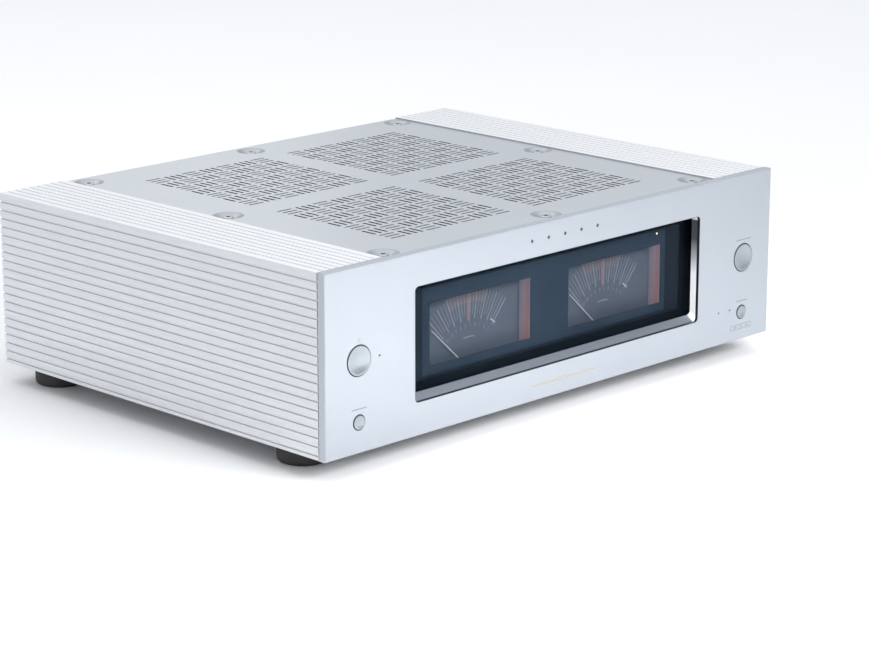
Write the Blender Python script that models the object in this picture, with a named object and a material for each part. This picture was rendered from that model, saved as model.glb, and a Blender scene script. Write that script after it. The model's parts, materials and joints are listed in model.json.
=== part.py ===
"""Stereo power amplifier with two pointer meters, as an assembly of separate sub-parts.

Metres, +Z up. The origin is at the bottom centre of the whole object's box: the feet stand on
z = 0, the front panel faces -Y, and +X is to the right as seen from the front.
"""

import math

import bmesh
import bpy
from mathutils import Matrix, Vector

# Whole object
WIDTH = 0.435
BODY_HEIGHT = 0.1202
BODY_DEPTH = 0.324
FOOT_HEIGHT = 0.014
REAR_REACH = 0.022  # binding-post caps behind the rear panel
BUTTON_PROUD = 0.0005  # button caps in front of the front panel
GAP = 0.0003  # clearance between touching pieces

TOP = FOOT_HEIGHT + BODY_HEIGHT
FRONT = -(BODY_DEPTH + REAR_REACH - BUTTON_PROUD) / 2
REAR = FRONT + BODY_DEPTH
HALF = WIDTH / 2

# Front panel and its window
PANEL = 0.0058
PANEL_CHAMFER = 0.0011
WINDOW_WIDTH = 0.279
WINDOW_HEIGHT = 0.076
WINDOW_RADIUS = 0.003
WINDOW_Z = TOP - 0.0602
BEZEL_DEPTH = 0.007
BEZEL_WALL = 0.0022
SILL_FRONT = 0.0012
SILL_REAR = 0.005
GLASS = 0.0025
GLASS_MARGIN = 0.004  # glass that the panel hides on each side

# Meters
MASK_FRONT = 0.0142  # depth of the mask's face behind the panel's face
MASK = 0.001
MASK_HALF_WIDTH = 0.119
MASK_BOTTOM = TOP - 0.088
MASK_TOP = TOP - 0.030
METER_X = 0.066
METER_WIDTH = 0.094
METER_HEIGHT = 0.041
METER_Z = TOP - 0.0615
PIVOT_Z = TOP - 0.096
HOUSING_WALL = 0.0015
HOUSING_FLOOR = 0.0266  # depth of the housing's rear wall
HOUSING_TOP = TOP - 0.038
HOUSING_BOTTOM = TOP - 0.105
DIAL_DEPTH = 0.0245
DIAL = 0.0007
NEEDLE_DEPTH = 0.022
NEEDLE_LENGTH = 0.050
NEEDLE_TAIL = 0.0075
NEEDLE_REST = math.radians(47)  # left of straight up
SHAFT_RADIUS = 0.001
SHAFT_HOLE = 0.002
MOVEMENT_RADIUS = 0.017
MOVEMENT_LENGTH = 0.016

# Buttons: x, z, cap radius
LARGE_CAP = 0.0097
SMALL_CAP = 0.0046
BUTTONS = {
    "standby_button": (-0.1885, TOP - 0.0602, LARGE_CAP),
    "speaker_select_button": (-0.1887, TOP - 0.1000, SMALL_CAP),
    "meter_mode_button": (0.1882, TOP - 0.0602, LARGE_CAP),
    "display_button": (0.1878, TOP - 0.1000, SMALL_CAP),
}
CAP_GAP = 0.0006
CAP_DISH = 0.0006
BUTTON_TRAVEL = 0.0015
FLANGE = 0.0015
STEM_END = 0.0130
LED_HOLE = 0.0009
LED_PIN = 0.0005
LED_FOOT = 0.004
STANDBY_LED = (-0.1707, TOP - 0.0602)
STATUS_LEDS = ((0.1623, TOP - 0.0965), (0.1745, TOP - 0.0965))
BOARD = 0.0016
BOARD_DEPTH = 0.022

# Casing
PANEL_SHADOW = 0.0006  # gap between the front panel and the side panels
FLANGE_WIDTH = 0.0558  # side panel's top flange
SIDE_THICK = 0.0045
SIDE_PITCH = 0.00585
SIDE_GROOVES = 20
TOP_PITCH = 0.0062
TOP_GROOVES = 8
GROOVE_WIDTH = 0.0012
GROOVE_DEPTH = 0.001
COVER_RECESS = 0.001
COVER = 0.0015
DISH_RADIUS = 0.0095
DISH_FLOOR = 0.0048
DISH_DEPTH = 0.003
LEDGE_X = 0.142
LEDGE_TOP = TOP - COVER_RECESS - DISH_DEPTH - COVER - GAP
LEDGE = 0.002
SCREW_X = 0.1505
SCREW_INSET = 0.0115
SCREW_INSET_REAR = 0.0135
SCREW_HEAD = 0.0037
SCREW_HEAD_HEIGHT = 0.002
SCREW_SHAFT = 0.0015
SCREW_LENGTH = 0.009
SCREW_HOLE = 0.002
PAN = 0.0015
FOOT_RADIUS = 0.018
FOOT_X = 0.1914
FOOT_FRONT = FRONT + 0.0486
FOOT_REAR = FRONT + 0.2971

# Vents: four fields of square cells, each cell's slots turned against its neighbours'
VENT_CELLS = 7
VENT_FIRST = 0.018
VENT_PITCH = 0.0162
SLOT_LENGTH = 0.0132
SLOT_WIDTH = 0.002

# Rear connectors: x, z
REAR_PANEL = 0.0015
XLR_X = 0.176
XLR_Z = (0.100, 0.052)
XLR_RADIUS = 0.0115
RCA_X = 0.130
RCA_Z = (0.100, 0.070)
SELECTOR = (0.130, 0.036)
SPEAKER_X = 0.052
SPEAKER_Z = 0.072
POST_PITCH = 0.028
POST_RADIUS = 0.003
POST_END = 0.0205
POST_CAP_RADIUS = 0.0068
INLET = (-0.165, 0.050)
SWITCH = (-0.165, 0.100)
ROCKER_TILT = math.radians(8)
ROCKER_PIVOT = 0.0035  # depth of its axis inside the panel

# Inside
TRANSFORMER_RADIUS = 0.060
TRANSFORMER_HOLE = 0.016
TRANSFORMER_HEIGHT = 0.052
CAPACITOR_RADIUS = 0.0225
CAPACITOR_HEIGHT = 0.062
CAPACITOR_X = 0.042
HEAT_SINK_FINS = 11

# Finishes: colour, roughness, metallic
FINISHES = {
    "satin_silver": ((0.80, 0.82, 0.85), 0.38, 0.9),
    "ribbed_silver": ((0.74, 0.76, 0.78), 0.42, 0.9),
    "polished_steel": ((0.72, 0.73, 0.76), 0.12, 1.0),
    "smoked_glass": ((0.10, 0.12, 0.15), 0.05, 0.0),
    "slate_paint": ((0.055, 0.075, 0.10), 0.55, 0.0),
    "dark_plastic": ((0.02, 0.02, 0.023), 0.45, 0.0),
    "dial_paint": ((0.13, 0.16, 0.21), 0.6, 0.0),
    "needle_paint": ((0.95, 0.80, 0.80), 0.4, 0.0),
    "light_pipe": ((0.9, 0.75, 0.6), 0.3, 0.0),
    "rubber": ((0.035, 0.028, 0.028), 0.7, 0.0),
    "zinc_steel": ((0.55, 0.56, 0.58), 0.35, 1.0),
    "copper_winding": ((0.75, 0.32, 0.12), 0.4, 0.8),
    "board_green": ((0.03, 0.16, 0.07), 0.5, 0.0),
    "black_sleeve": ((0.03, 0.03, 0.05), 0.4, 0.0),
    "red_cap": ((0.55, 0.03, 0.03), 0.35, 0.0),
    "black_cap": ((0.03, 0.03, 0.03), 0.35, 0.0),
}

AXES = {"X": Vector((1, 0, 0)), "Y": Vector((0, 1, 0)), "Z": Vector((0, 0, 1))}


def clear_scene():
    for obj in list(bpy.data.objects):
        bpy.data.objects.remove(obj, do_unlink=True)


def material(name, finish):
    """A material of this object's own, with the finish's colour, roughness and metallic value."""
    colour, roughness, metallic = FINISHES[finish]
    made = bpy.data.materials.new(f"{name}_{finish}")
    made.use_nodes = True
    shader = made.node_tree.nodes["Principled BSDF"]
    shader.inputs["Base Color"].default_value = (*colour, 1)
    shader.inputs["Roughness"].default_value = roughness
    shader.inputs["Metallic"].default_value = metallic
    made.diffuse_color = (*colour, 1)
    return made


def add(name, shape, finish, origin=(0, 0, 0), smooth=False):
    """Makes an object of a bmesh drawn in world coordinates, with its origin at a given point."""
    bmesh.ops.remove_doubles(shape, verts=shape.verts, dist=1e-7)
    bmesh.ops.recalc_face_normals(shape, faces=shape.faces)
    bmesh.ops.transform(shape, matrix=Matrix.Translation(-Vector(origin)), verts=shape.verts)
    mesh = bpy.data.meshes.new(name)
    shape.to_mesh(mesh)
    shape.free()
    if smooth:
        mesh.shade_smooth()
        mesh.set_sharp_from_angle(angle=math.radians(35))
    mesh.materials.append(material(name, finish))
    obj = bpy.data.objects.new(name, mesh)
    obj.location = origin
    bpy.context.scene.collection.objects.link(obj)
    return obj


def combine(obj, shape, operation):
    """Cuts a helper solid out of an object, or joins it on, with a Boolean modifier."""
    helper = add(f"{obj.name}_{operation.lower()}_{len(obj.modifiers)}", shape, "dark_plastic")
    helper.hide_render = True
    helper.display_type = "WIRE"
    modifier = obj.modifiers.new(helper.name, "BOOLEAN")
    modifier.operation = operation
    modifier.solver = "EXACT"
    modifier.object = helper


def cut(obj, shape):
    combine(obj, shape, "DIFFERENCE")


def join(obj, shape):
    combine(obj, shape, "UNION")


def placed(axis, along, u, v):
    """A point from its place along an axis and its two coordinates across it, in X, Y, Z order."""
    return {"X": (along, u, v), "Y": (u, along, v), "Z": (u, v, along)}[axis]


def block(shape, low, high):
    """A box from its lowest and highest corners."""
    size = [b - a for a, b in zip(low, high)]
    middle = [(a + b) / 2 for a, b in zip(low, high)]
    matrix = Matrix.Translation(middle) @ Matrix.Diagonal((*size, 1))
    bmesh.ops.create_cube(shape, size=1, matrix=matrix)
    return shape


def prism(shape, axis, start, end, outline):
    """An outline, extruded along an axis."""
    face = shape.faces.new([shape.verts.new(placed(axis, start, u, v)) for u, v in outline])
    made = bmesh.ops.extrude_face_region(shape, geom=[face])["geom"]
    moved = [item for item in made if isinstance(item, bmesh.types.BMVert)]
    bmesh.ops.translate(shape, vec=AXES[axis] * (end - start), verts=moved)
    return shape


def loft(shape, axis, start, outline, end, other):
    """A solid between two outlines that have as many points as each other."""
    rings = []
    for along, points in ((start, outline), (end, other)):
        face = shape.faces.new([shape.verts.new(placed(axis, along, u, v)) for u, v in points])
        rings.append(face.edges[:])
    bmesh.ops.bridge_loops(shape, edges=rings[0] + rings[1])
    return shape


def turned(shape, axis, u, v, profile, sides=24, closed=False):
    """A profile of (radius, place along the axis) points, spun about the axis through (u, v)."""
    radial = {"X": Vector((0, 1, 0)), "Y": Vector((1, 0, 0)), "Z": Vector((1, 0, 0))}[axis]
    centre = Vector(placed(axis, 0, u, v))
    points = [shape.verts.new(centre + radial * r + AXES[axis] * along) for r, along in profile]
    pairs = list(zip(points, points[1:]))
    if closed:
        pairs.append((points[-1], points[0]))
    edges = [shape.edges.new(pair) for pair in pairs]
    bmesh.ops.spin(
        shape, geom=points + edges, cent=centre, axis=AXES[axis], angle=math.tau, steps=sides
    )
    bmesh.ops.remove_doubles(shape, verts=shape.verts, dist=1e-7)
    return shape


def cylinder(shape, axis, u, v, radius, start, end, sides=24):
    return turned(shape, axis, u, v, [(0, start), (radius, start), (radius, end), (0, end)], sides)


def rectangle(u0, u1, v0, v1):
    return [(u0, v0), (u1, v0), (u1, v1), (u0, v1)]


def round_rectangle(u0, u1, v0, v1, radius, steps=4):
    """A rectangle with round corners, anticlockwise from its lower right corner."""
    points = []
    corners = ((u1, v0, -90), (u1, v1, 0), (u0, v1, 90), (u0, v0, 180))
    for u, v, first in corners:
        cu = u - radius if u == u1 else u + radius
        cv = v - radius if v == v1 else v + radius
        for step in range(steps + 1):
            angle = math.radians(first + 90 * step / steps)
            points.append((cu + radius * math.cos(angle), cv + radius * math.sin(angle)))
    return points


def around(u, v, half_u, half_v):
    return u - half_u, u + half_u, v - half_v, v + half_v


def blank():
    return bmesh.new()


# ---------------------------------------------------------------- front panel and window


def front_panel():
    shape = block(blank(), (-HALF, FRONT, FOOT_HEIGHT), (HALF, FRONT + PANEL, TOP))
    front_edges = [e for e in shape.edges if all(v.co.y < FRONT + PANEL / 2 for v in e.verts)]
    bmesh.ops.bevel(shape, geom=front_edges, offset=PANEL_CHAMFER, segments=1, affect="EDGES")
    panel = add("front_panel", shape, "satin_silver")
    holes = blank()
    opening = round_rectangle(
        *around(0, WINDOW_Z, WINDOW_WIDTH / 2, WINDOW_HEIGHT / 2), WINDOW_RADIUS
    )
    ends = (FRONT - PANEL, FRONT + 2 * PANEL)
    prism(holes, "Y", *ends, opening)
    for x, z, radius in BUTTONS.values():
        cylinder(holes, "Y", x, z, radius + CAP_GAP, *ends, sides=28)
    for x, z in (STANDBY_LED, *STATUS_LEDS):
        cylinder(holes, "Y", x, z, LED_HOLE, *ends, sides=10)
    cut(panel, holes)


def window_bezel():
    half_width = WINDOW_WIDTH / 2 - GAP
    half_height = WINDOW_HEIGHT / 2 - GAP
    outer = round_rectangle(*around(0, WINDOW_Z, half_width, half_height), WINDOW_RADIUS - GAP)
    shape = prism(blank(), "Y", FRONT, FRONT + BEZEL_DEPTH, outer)
    bezel = add("window_bezel", shape, "polished_steel")
    side = half_width - BEZEL_WALL
    top = WINDOW_Z + half_height - BEZEL_WALL
    bottom = WINDOW_Z - half_height
    rise = (SILL_REAR - SILL_FRONT) / BEZEL_DEPTH
    past = 0.001  # the cutter runs this far past both faces
    front = round_rectangle(-side, side, bottom + SILL_FRONT - rise * past, top, 0.001, 2)
    rear = round_rectangle(-side, side, bottom + SILL_REAR + rise * past, top, 0.001, 2)
    cut(bezel, loft(blank(), "Y", FRONT - past, front, FRONT + BEZEL_DEPTH + past, rear))


def window_glass():
    half_width = WINDOW_WIDTH / 2 + GLASS_MARGIN
    half_height = WINDOW_HEIGHT / 2 + GLASS_MARGIN
    outline = round_rectangle(*around(0, WINDOW_Z, half_width, half_height), 0.002, 2)
    near = FRONT + BEZEL_DEPTH + GAP
    add("window_glass", prism(blank(), "Y", near, near + GLASS, outline), "smoked_glass")


def meter_mask():
    """A black tray behind the glass, whose floor is the mask with the two meter openings."""
    half_width = WINDOW_WIDTH / 2 + GLASS_MARGIN
    half_height = WINDOW_HEIGHT / 2 + GLASS_MARGIN
    near = FRONT + BEZEL_DEPTH + GLASS + 2 * GAP
    floor = FRONT + MASK_FRONT
    outline = rectangle(*around(0, WINDOW_Z, half_width, half_height))
    tray = add("meter_mask", prism(blank(), "Y", near, floor + MASK, outline), "slate_paint")
    rim = half_height - 0.0055
    past = 0.001
    front = rectangle(*around(0, WINDOW_Z, half_width - 0.008, rim))
    rear = rectangle(-MASK_HALF_WIDTH, MASK_HALF_WIDTH, MASK_BOTTOM, MASK_TOP)
    cut(tray, loft(blank(), "Y", near - past, front, floor, rear))
    openings = blank()
    for side in (-1, 1):
        outline = rectangle(*around(side * METER_X, METER_Z, METER_WIDTH / 2, METER_HEIGHT / 2))
        prism(openings, "Y", floor - past, floor + MASK + past, outline)
    cut(tray, openings)


# ---------------------------------------------------------------- meters


def meter_housing(name, x):
    near = FRONT + MASK_FRONT + MASK + GAP
    floor = FRONT + HOUSING_FLOOR
    half = METER_WIDTH / 2 + 0.0015
    wall = HOUSING_WALL
    outside = block(
        blank(),
        (x - half - wall, near, HOUSING_BOTTOM - wall),
        (x + half + wall, floor, HOUSING_TOP + wall),
    )
    housing = add(f"{name}_meter_housing", outside, "dark_plastic")
    inside = block(
        blank(), (x - half, near - wall, HOUSING_BOTTOM), (x + half, floor - wall, HOUSING_TOP)
    )
    cut(housing, inside)
    cut(housing, cylinder(blank(), "Y", x, PIVOT_Z, SHAFT_HOLE, floor - 2 * wall, floor + wall, 16))


def meter_dial(name, x):
    half = METER_WIDTH / 2 + 0.0015 - GAP
    near = FRONT + DIAL_DEPTH - DIAL / 2
    plate = block(
        blank(), (x - half, near, HOUSING_BOTTOM + GAP), (x + half, near + DIAL, HOUSING_TOP - GAP)
    )
    dial = add(f"{name}_meter_dial", plate, "dial_paint")
    cut(dial, cylinder(blank(), "Y", x, PIVOT_Z, SHAFT_HOLE, near - DIAL, near + 2 * DIAL, 16))


def meter_needle(name, x):
    """A tapered pointer on a hub, with a tail weight and a shaft that runs back to the movement."""
    near = FRONT + NEEDLE_DEPTH
    thick = 0.0004
    root, tip = 0.0006, 0.0002
    arm = [(-root, -NEEDLE_TAIL), (root, -NEEDLE_TAIL), (tip, NEEDLE_LENGTH), (-tip, NEEDLE_LENGTH)]
    turn = Matrix.Rotation(NEEDLE_REST, 2)
    centre = Vector((x, PIVOT_Z))
    outline = [centre + turn @ Vector(point) for point in arm]
    shape = prism(blank(), "Y", near, near + thick, outline)
    needle = add(f"{name}_meter_needle", shape, "needle_paint", (x, near, PIVOT_Z))
    shaft_end = FRONT + HOUSING_FLOOR + 0.008
    hub = [
        (0, near - 0.0008),
        (0.003, near - 0.0004),
        (0.003, near + 0.0011),
        (SHAFT_RADIUS, near + 0.0011),
        (SHAFT_RADIUS, shaft_end),
        (0, shaft_end),
    ]
    join(needle, turned(blank(), "Y", x, PIVOT_Z, hub, 16))


def meter_movement(name, x):
    """The moving-coil movement behind the housing, with the needle shaft's bearing bore."""
    near = FRONT + HOUSING_FLOOR + GAP
    end = near + MOVEMENT_LENGTH
    body = [
        (0, near),
        (MOVEMENT_RADIUS * 0.6, near),
        (MOVEMENT_RADIUS, near + 0.003),
        (MOVEMENT_RADIUS, end),
        (0, end),
    ]
    shape = turned(blank(), "Y", x, PIVOT_Z, body, 20)
    movement = add(f"{name}_meter_movement", shape, "zinc_steel", smooth=True)
    bore = SHAFT_RADIUS + GAP
    cut(movement, cylinder(blank(), "Y", x, PIVOT_Z, bore, near - 0.002, near + 0.011, 16))


def meters():
    for name, x in (("left", -METER_X), ("right", METER_X)):
        meter_housing(name, x)
        meter_dial(name, x)
        meter_needle(name, x)
        meter_movement(name, x)


# ---------------------------------------------------------------- buttons and their boards


def button(name, x, z, radius):
    """A dished cap in the panel's hole, a retaining flange behind the panel, and a stem."""
    face = FRONT - BUTTON_PROUD
    flange = FRONT + PANEL + GAP
    profile = [
        (0, face + CAP_DISH),
        (radius * 0.45, face + CAP_DISH * 0.75),
        (radius * 0.8, face + CAP_DISH * 0.2),
        (radius - 0.0004, face),
        (radius, face + 0.0004),
        (radius, flange),
        (radius + 0.002, flange),
        (radius + 0.002, flange + FLANGE),
        (radius * 0.4, flange + FLANGE),
        (radius * 0.4, FRONT + STEM_END),
        (0, FRONT + STEM_END),
    ]
    add(name, turned(blank(), "Y", x, z, profile, 24), "satin_silver", (x, face, z), smooth=True)


def button_board(name, sign):
    """A board with a tactile switch behind each button, one travel and a gap behind its stem."""
    near = FRONT + BOARD_DEPTH
    low = (min(sign * 0.154, sign * 0.206), near, TOP - 0.110)
    high = (max(sign * 0.154, sign * 0.206), near + BOARD, TOP - 0.044)
    board = add(name, block(blank(), low, high), "board_green")
    switch_face = FRONT + STEM_END + BUTTON_TRAVEL + GAP
    switches = blank()
    for x, z, radius in BUTTONS.values():
        if x * sign > 0:
            half = radius * 0.55
            block(switches, (x - half, switch_face, z - half), (x + half, near + BOARD / 2, z + half))
    join(board, switches)


def standby_light_pipe():
    x, z = STANDBY_LED
    end = FRONT + BOARD_DEPTH - GAP
    foot = end - LED_FOOT
    profile = [(0, FRONT), (LED_PIN, FRONT), (LED_PIN, foot), (0.002, foot), (0.002, end), (0, end)]
    add("standby_light_pipe", turned(blank(), "Y", x, z, profile, 12), "light_pipe", smooth=True)


def status_light_pipe():
    """Two prongs on one moulded foot."""
    (inner, z), (outer, _) = STATUS_LEDS
    end = FRONT + BOARD_DEPTH - GAP
    low = (inner - 0.002, end - LED_FOOT, z - 0.0025)
    foot = block(blank(), low, (outer + 0.002, end, z + 0.0025))
    pipe = add("status_light_pipe", foot, "light_pipe")
    prongs = blank()
    for x in (inner, outer):
        cylinder(prongs, "Y", x, z, LED_PIN, FRONT, end - 0.002, 10)
    join(pipe, prongs)


def controls():
    for name, (x, z, radius) in BUTTONS.items():
        button(name, x, z, radius)
    button_board("left_button_board", -1)
    button_board("right_button_board", 1)
    standby_light_pipe()
    status_light_pipe()


# ---------------------------------------------------------------- casing


def grooves(count, pitch):
    """Distances from the corner and depths into the face, along a row of square grooves."""
    points = []
    for index in range(1, count + 1):
        near = index * pitch - GROOVE_WIDTH / 2
        far = index * pitch + GROOVE_WIDTH / 2
        points += [(near, 0), (near, GROOVE_DEPTH), (far, GROOVE_DEPTH), (far, 0)]
    return points


def side_outline():
    """The right side panel's section: ribbed side, ribbed top flange, and a ledge for the cover."""
    down_side = grooves(SIDE_GROOVES, SIDE_PITCH)
    side = [(HALF - depth, TOP - down) for down, depth in reversed(down_side)]
    top = [(HALF - across, TOP - depth) for across, depth in grooves(TOP_GROOVES, TOP_PITCH)]
    flange_end = HALF - FLANGE_WIDTH
    inner = HALF - SIDE_THICK
    return [
        (HALF, FOOT_HEIGHT),
        *side,
        (HALF, TOP),
        *top,
        (flange_end, TOP),
        (flange_end, LEDGE_TOP),
        (LEDGE_X, LEDGE_TOP),
        (LEDGE_X, LEDGE_TOP - LEDGE),
        (inner, LEDGE_TOP - LEDGE),
        (inner, FOOT_HEIGHT),
    ]


def screw_places():
    """Where the cover's eight screws stand: three rows of three, without the middle one."""
    cover_front = FRONT + PANEL
    front = cover_front + SCREW_INSET
    rear = REAR - SCREW_INSET_REAR
    rows = (front, (front + rear) / 2, rear)
    return [(x, y) for y in rows for x in (-SCREW_X, 0, SCREW_X) if x or y != rows[1]]


def screw_holes(places):
    holes = blank()
    for x, y in places:
        cylinder(holes, "Z", x, y, SCREW_HOLE, LEDGE_TOP - 2 * LEDGE, LEDGE_TOP + LEDGE, 10)
    return holes


def side_panels():
    for name, sign in (("left", -1), ("right", 1)):
        outline = [(sign * u, v) for u, v in side_outline()]
        shape = prism(blank(), "Y", FRONT + PANEL + PANEL_SHADOW, REAR, outline)
        panel = add(f"{name}_side_panel", shape, "ribbed_silver")
        cut(panel, screw_holes([place for place in screw_places() if place[0] * sign > 0]))


def vent_slots():
    """One slot in the middle of each cell, along X or Y in turn."""
    slots = blank()
    centre_y = (FRONT + PANEL + REAR) / 2
    top = TOP - COVER_RECESS
    offsets = [VENT_FIRST + VENT_PITCH * step for step in range(VENT_CELLS)]
    for i, across in enumerate(offsets):
        for j, back in enumerate(offsets):
            half_x, half_y = SLOT_LENGTH / 2, SLOT_WIDTH / 2
            if (i + j) % 2:
                half_x, half_y = half_y, half_x
            for x in (-across, across):
                for y in (centre_y - back, centre_y + back):
                    low = (x - half_x, y - half_y, top - 2 * COVER)
                    high = (x + half_x, y + half_y, top + COVER)
                    block(slots, low, high)
    return slots


def top_cover():
    """A vented sheet with eight pressed dishes, each with a screw hole in its floor."""
    half = HALF - FLANGE_WIDTH - GAP
    top = TOP - COVER_RECESS
    sheet = block(blank(), (-half, FRONT + PANEL + GAP, top - COVER), (half, REAR, top))
    cover = add("top_cover", sheet, "satin_silver")
    cups = blank()
    hollows = blank()
    for x, y in screw_places():
        floor = top - DISH_DEPTH
        overlap = 0.0004
        cup = [
            (0, top - overlap),
            (DISH_RADIUS + COVER * 0.4, top - overlap),
            (DISH_RADIUS + COVER * 0.4, top - COVER),
            (DISH_FLOOR + COVER * 0.4, floor - COVER),
            (0, floor - COVER),
        ]
        turned(cups, "Z", x, y, cup, 12)
        rise = DISH_RADIUS + (DISH_RADIUS - DISH_FLOOR) * 0.001 / DISH_DEPTH
        hollow = [
            (0, top + 0.001),
            (rise, top + 0.001),
            (DISH_FLOOR, floor),
            (SCREW_HOLE, floor),
            (SCREW_HOLE, floor - 2 * COVER),
            (0, floor - 2 * COVER),
        ]
        turned(hollows, "Z", x, y, hollow, 12)
    cut(cover, vent_slots())
    join(cover, cups)
    cut(cover, hollows)


def cover_screws():
    base = TOP - COVER_RECESS - DISH_DEPTH + GAP
    for number, (x, y) in enumerate(screw_places(), 1):
        head = base + SCREW_HEAD_HEIGHT
        profile = [
            (0, head - 0.0012),
            (0.0014, head - 0.0012),
            (0.0014, head),
            (SCREW_HEAD - 0.0008, head),
            (SCREW_HEAD, head - 0.0008),
            (SCREW_HEAD, base),
            (SCREW_SHAFT, base),
            (SCREW_SHAFT, base - SCREW_LENGTH),
            (0, base - SCREW_LENGTH),
        ]
        name = f"cover_screw_{number}"
        add(name, turned(blank(), "Z", x, y, profile, 10), "zinc_steel", (x, y, base), smooth=True)


def front_cross_rail():
    """An angle bar behind the panel's top edge that takes the cover's front middle screw."""
    half = LEDGE_X - 2 * GAP
    near = FRONT + PANEL + PANEL_SHADOW
    top = LEDGE_TOP
    leg = 0.002
    outline = [
        (near, top),
        (near, TOP - 0.017),
        (near + leg, TOP - 0.017),
        (near + leg, top - LEDGE),
        (near + 0.022, top - LEDGE),
        (near + 0.022, top),
    ]
    rail = add("front_cross_rail", prism(blank(), "X", -half, half, outline), "zinc_steel")
    cut(rail, screw_holes([screw_places()[1]]))


def bottom_pan():
    half = HALF - SIDE_THICK - GAP
    low = FOOT_HEIGHT + 0.0006
    lip = low + 0.014
    outline = [
        (-half, low),
        (half, low),
        (half, lip),
        (half - PAN, lip),
        (half - PAN, low + PAN),
        (PAN - half, low + PAN),
        (PAN - half, lip),
        (-half, lip),
    ]
    shape = prism(blank(), "Y", FRONT + PANEL + PANEL_SHADOW, REAR, outline)
    add("bottom_pan", shape, "zinc_steel")


def feet():
    places = {
        "front_left_foot": (-FOOT_X, FOOT_FRONT),
        "front_right_foot": (FOOT_X, FOOT_FRONT),
        "rear_left_foot": (-FOOT_X, FOOT_REAR),
        "rear_right_foot": (FOOT_X, FOOT_REAR),
    }
    radius = FOOT_RADIUS
    top = FOOT_HEIGHT + GAP
    profile = [
        (0, 0),
        (radius - 0.0035, 0),
        (radius - 0.0012, 0.0012),
        (radius - 0.0004, 0.0038),
        (radius, 0.0075),
        (radius, top),
        (0, top),
    ]
    for name, (x, y) in places.items():
        add(name, turned(blank(), "Z", x, y, profile, 28), "rubber", (x, y, 0), smooth=True)


# ---------------------------------------------------------------- rear panel and connectors


def rear_panel():
    half = HALF - SIDE_THICK - GAP
    bottom = FOOT_HEIGHT + 0.0006 + PAN + GAP
    flange_top = LEDGE_TOP
    outline = [
        (REAR, bottom),
        (REAR, flange_top),
        (REAR - 0.022, flange_top),
        (REAR - 0.022, flange_top - LEDGE),
        (REAR - REAR_PANEL, flange_top - LEDGE),
        (REAR - REAR_PANEL, bottom),
    ]
    middle = LEDGE_X - 2 * GAP
    panel = add("rear_panel", prism(blank(), "X", -middle, middle, outline), "zinc_steel")
    wings = blank()
    wing_top = LEDGE_TOP - LEDGE - GAP
    for sign in (-1, 1):
        u0, u1 = sorted((sign * (middle - 0.001), sign * (half - PAN - GAP)))
        block(wings, (u0, REAR - REAR_PANEL, bottom), (u1, REAR, wing_top))
    join(panel, wings)
    holes = blank()
    ends = (REAR - 2 * REAR_PANEL, REAR + REAR_PANEL)
    for z in XLR_Z:
        cylinder(holes, "Y", XLR_X, z, XLR_RADIUS + GAP, *ends, sides=24)
    for z in RCA_Z:
        cylinder(holes, "Y", RCA_X, z, 0.0062, *ends, sides=16)
    cutouts = ((SELECTOR, 0.0085, 0.0035), (INLET, 0.0143, 0.0103), (SWITCH, 0.0108, 0.0068))
    for place, half_u, half_v in cutouts:
        prism(holes, "Y", *ends, rectangle(*around(*place, half_u, half_v)))
    for channel in (-SPEAKER_X, SPEAKER_X):
        for x in (channel - POST_PITCH / 2, channel + POST_PITCH / 2):
            cylinder(holes, "Y", x, SPEAKER_Z, 0.0075, *ends, sides=16)
    cut(panel, holes)
    cut(panel, screw_holes([screw_places()[6]]))


def xlr_input(name, z):
    """A panel socket: square flange, barrel, and a round insert with three contact holes."""
    face = REAR + GAP
    plate = round_rectangle(*around(XLR_X, z, 0.013, 0.0155), 0.003, 3)
    socket = add(name, prism(blank(), "Y", face, face + 0.0022, plate), "zinc_steel")
    join(socket, cylinder(blank(), "Y", XLR_X, z, XLR_RADIUS, face + 0.001, REAR - 0.020, 20))
    mouth, bottom = face + 0.004, REAR - 0.012
    groove = [(0.0079, mouth), (0.0097, mouth), (0.0097, bottom), (0.0079, bottom)]
    cut(socket, turned(blank(), "Y", XLR_X, z, groove, 20, closed=True))
    contacts = blank()
    for angle in (30, 150, 270):
        u = XLR_X + 0.0040 * math.cos(math.radians(angle))
        v = z + 0.0040 * math.sin(math.radians(angle))
        cylinder(contacts, "Y", u, v, 0.0012, mouth, REAR - 0.010, 8)
    cut(socket, contacts)


def rca_inputs():
    """Two phono jacks, one above the other, on one insulating block behind the panel."""
    inside = REAR - REAR_PANEL - GAP
    low, high = RCA_Z[1] - 0.011, RCA_Z[0] + 0.011
    body = block(blank(), (RCA_X - 0.009, inside - 0.012, low), (RCA_X + 0.009, inside, high))
    jacks = add("rca_input_block", body, "dark_plastic")
    barrels = blank()
    bores = blank()
    for z in RCA_Z:
        profile = [
            (0, inside - 0.004),
            (0.0055, inside - 0.004),
            (0.0055, REAR + 0.0025),
            (0.0042, REAR + 0.0025),
            (0.0042, REAR + 0.0095),
            (0, REAR + 0.0095),
        ]
        turned(barrels, "Y", RCA_X, z, profile, 20)
        cylinder(bores, "Y", RCA_X, z, 0.0016, REAR - 0.004, REAR + 0.012, 12)
    join(jacks, barrels)
    cut(jacks, bores)


def input_selector():
    x, z = SELECTOR
    inside = REAR - REAR_PANEL - GAP
    case = block(blank(), (x - 0.014, inside - 0.009, z - 0.0055), (x + 0.014, inside, z + 0.0055))
    housing = add("input_selector_housing", case, "zinc_steel")
    low = (x - 0.0085, inside - 0.0065, z - 0.0035)
    cut(housing, block(blank(), low, (x + 0.0085, inside + 0.001, z + 0.0035)))
    low = (x - 0.0080, inside - 0.006, z - 0.0030)
    nub = block(blank(), low, (x - 0.0020, REAR + 0.0015, z + 0.0030))
    add("input_selector_slider", nub, "dark_plastic", (x - 0.005, REAR, z))


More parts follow.
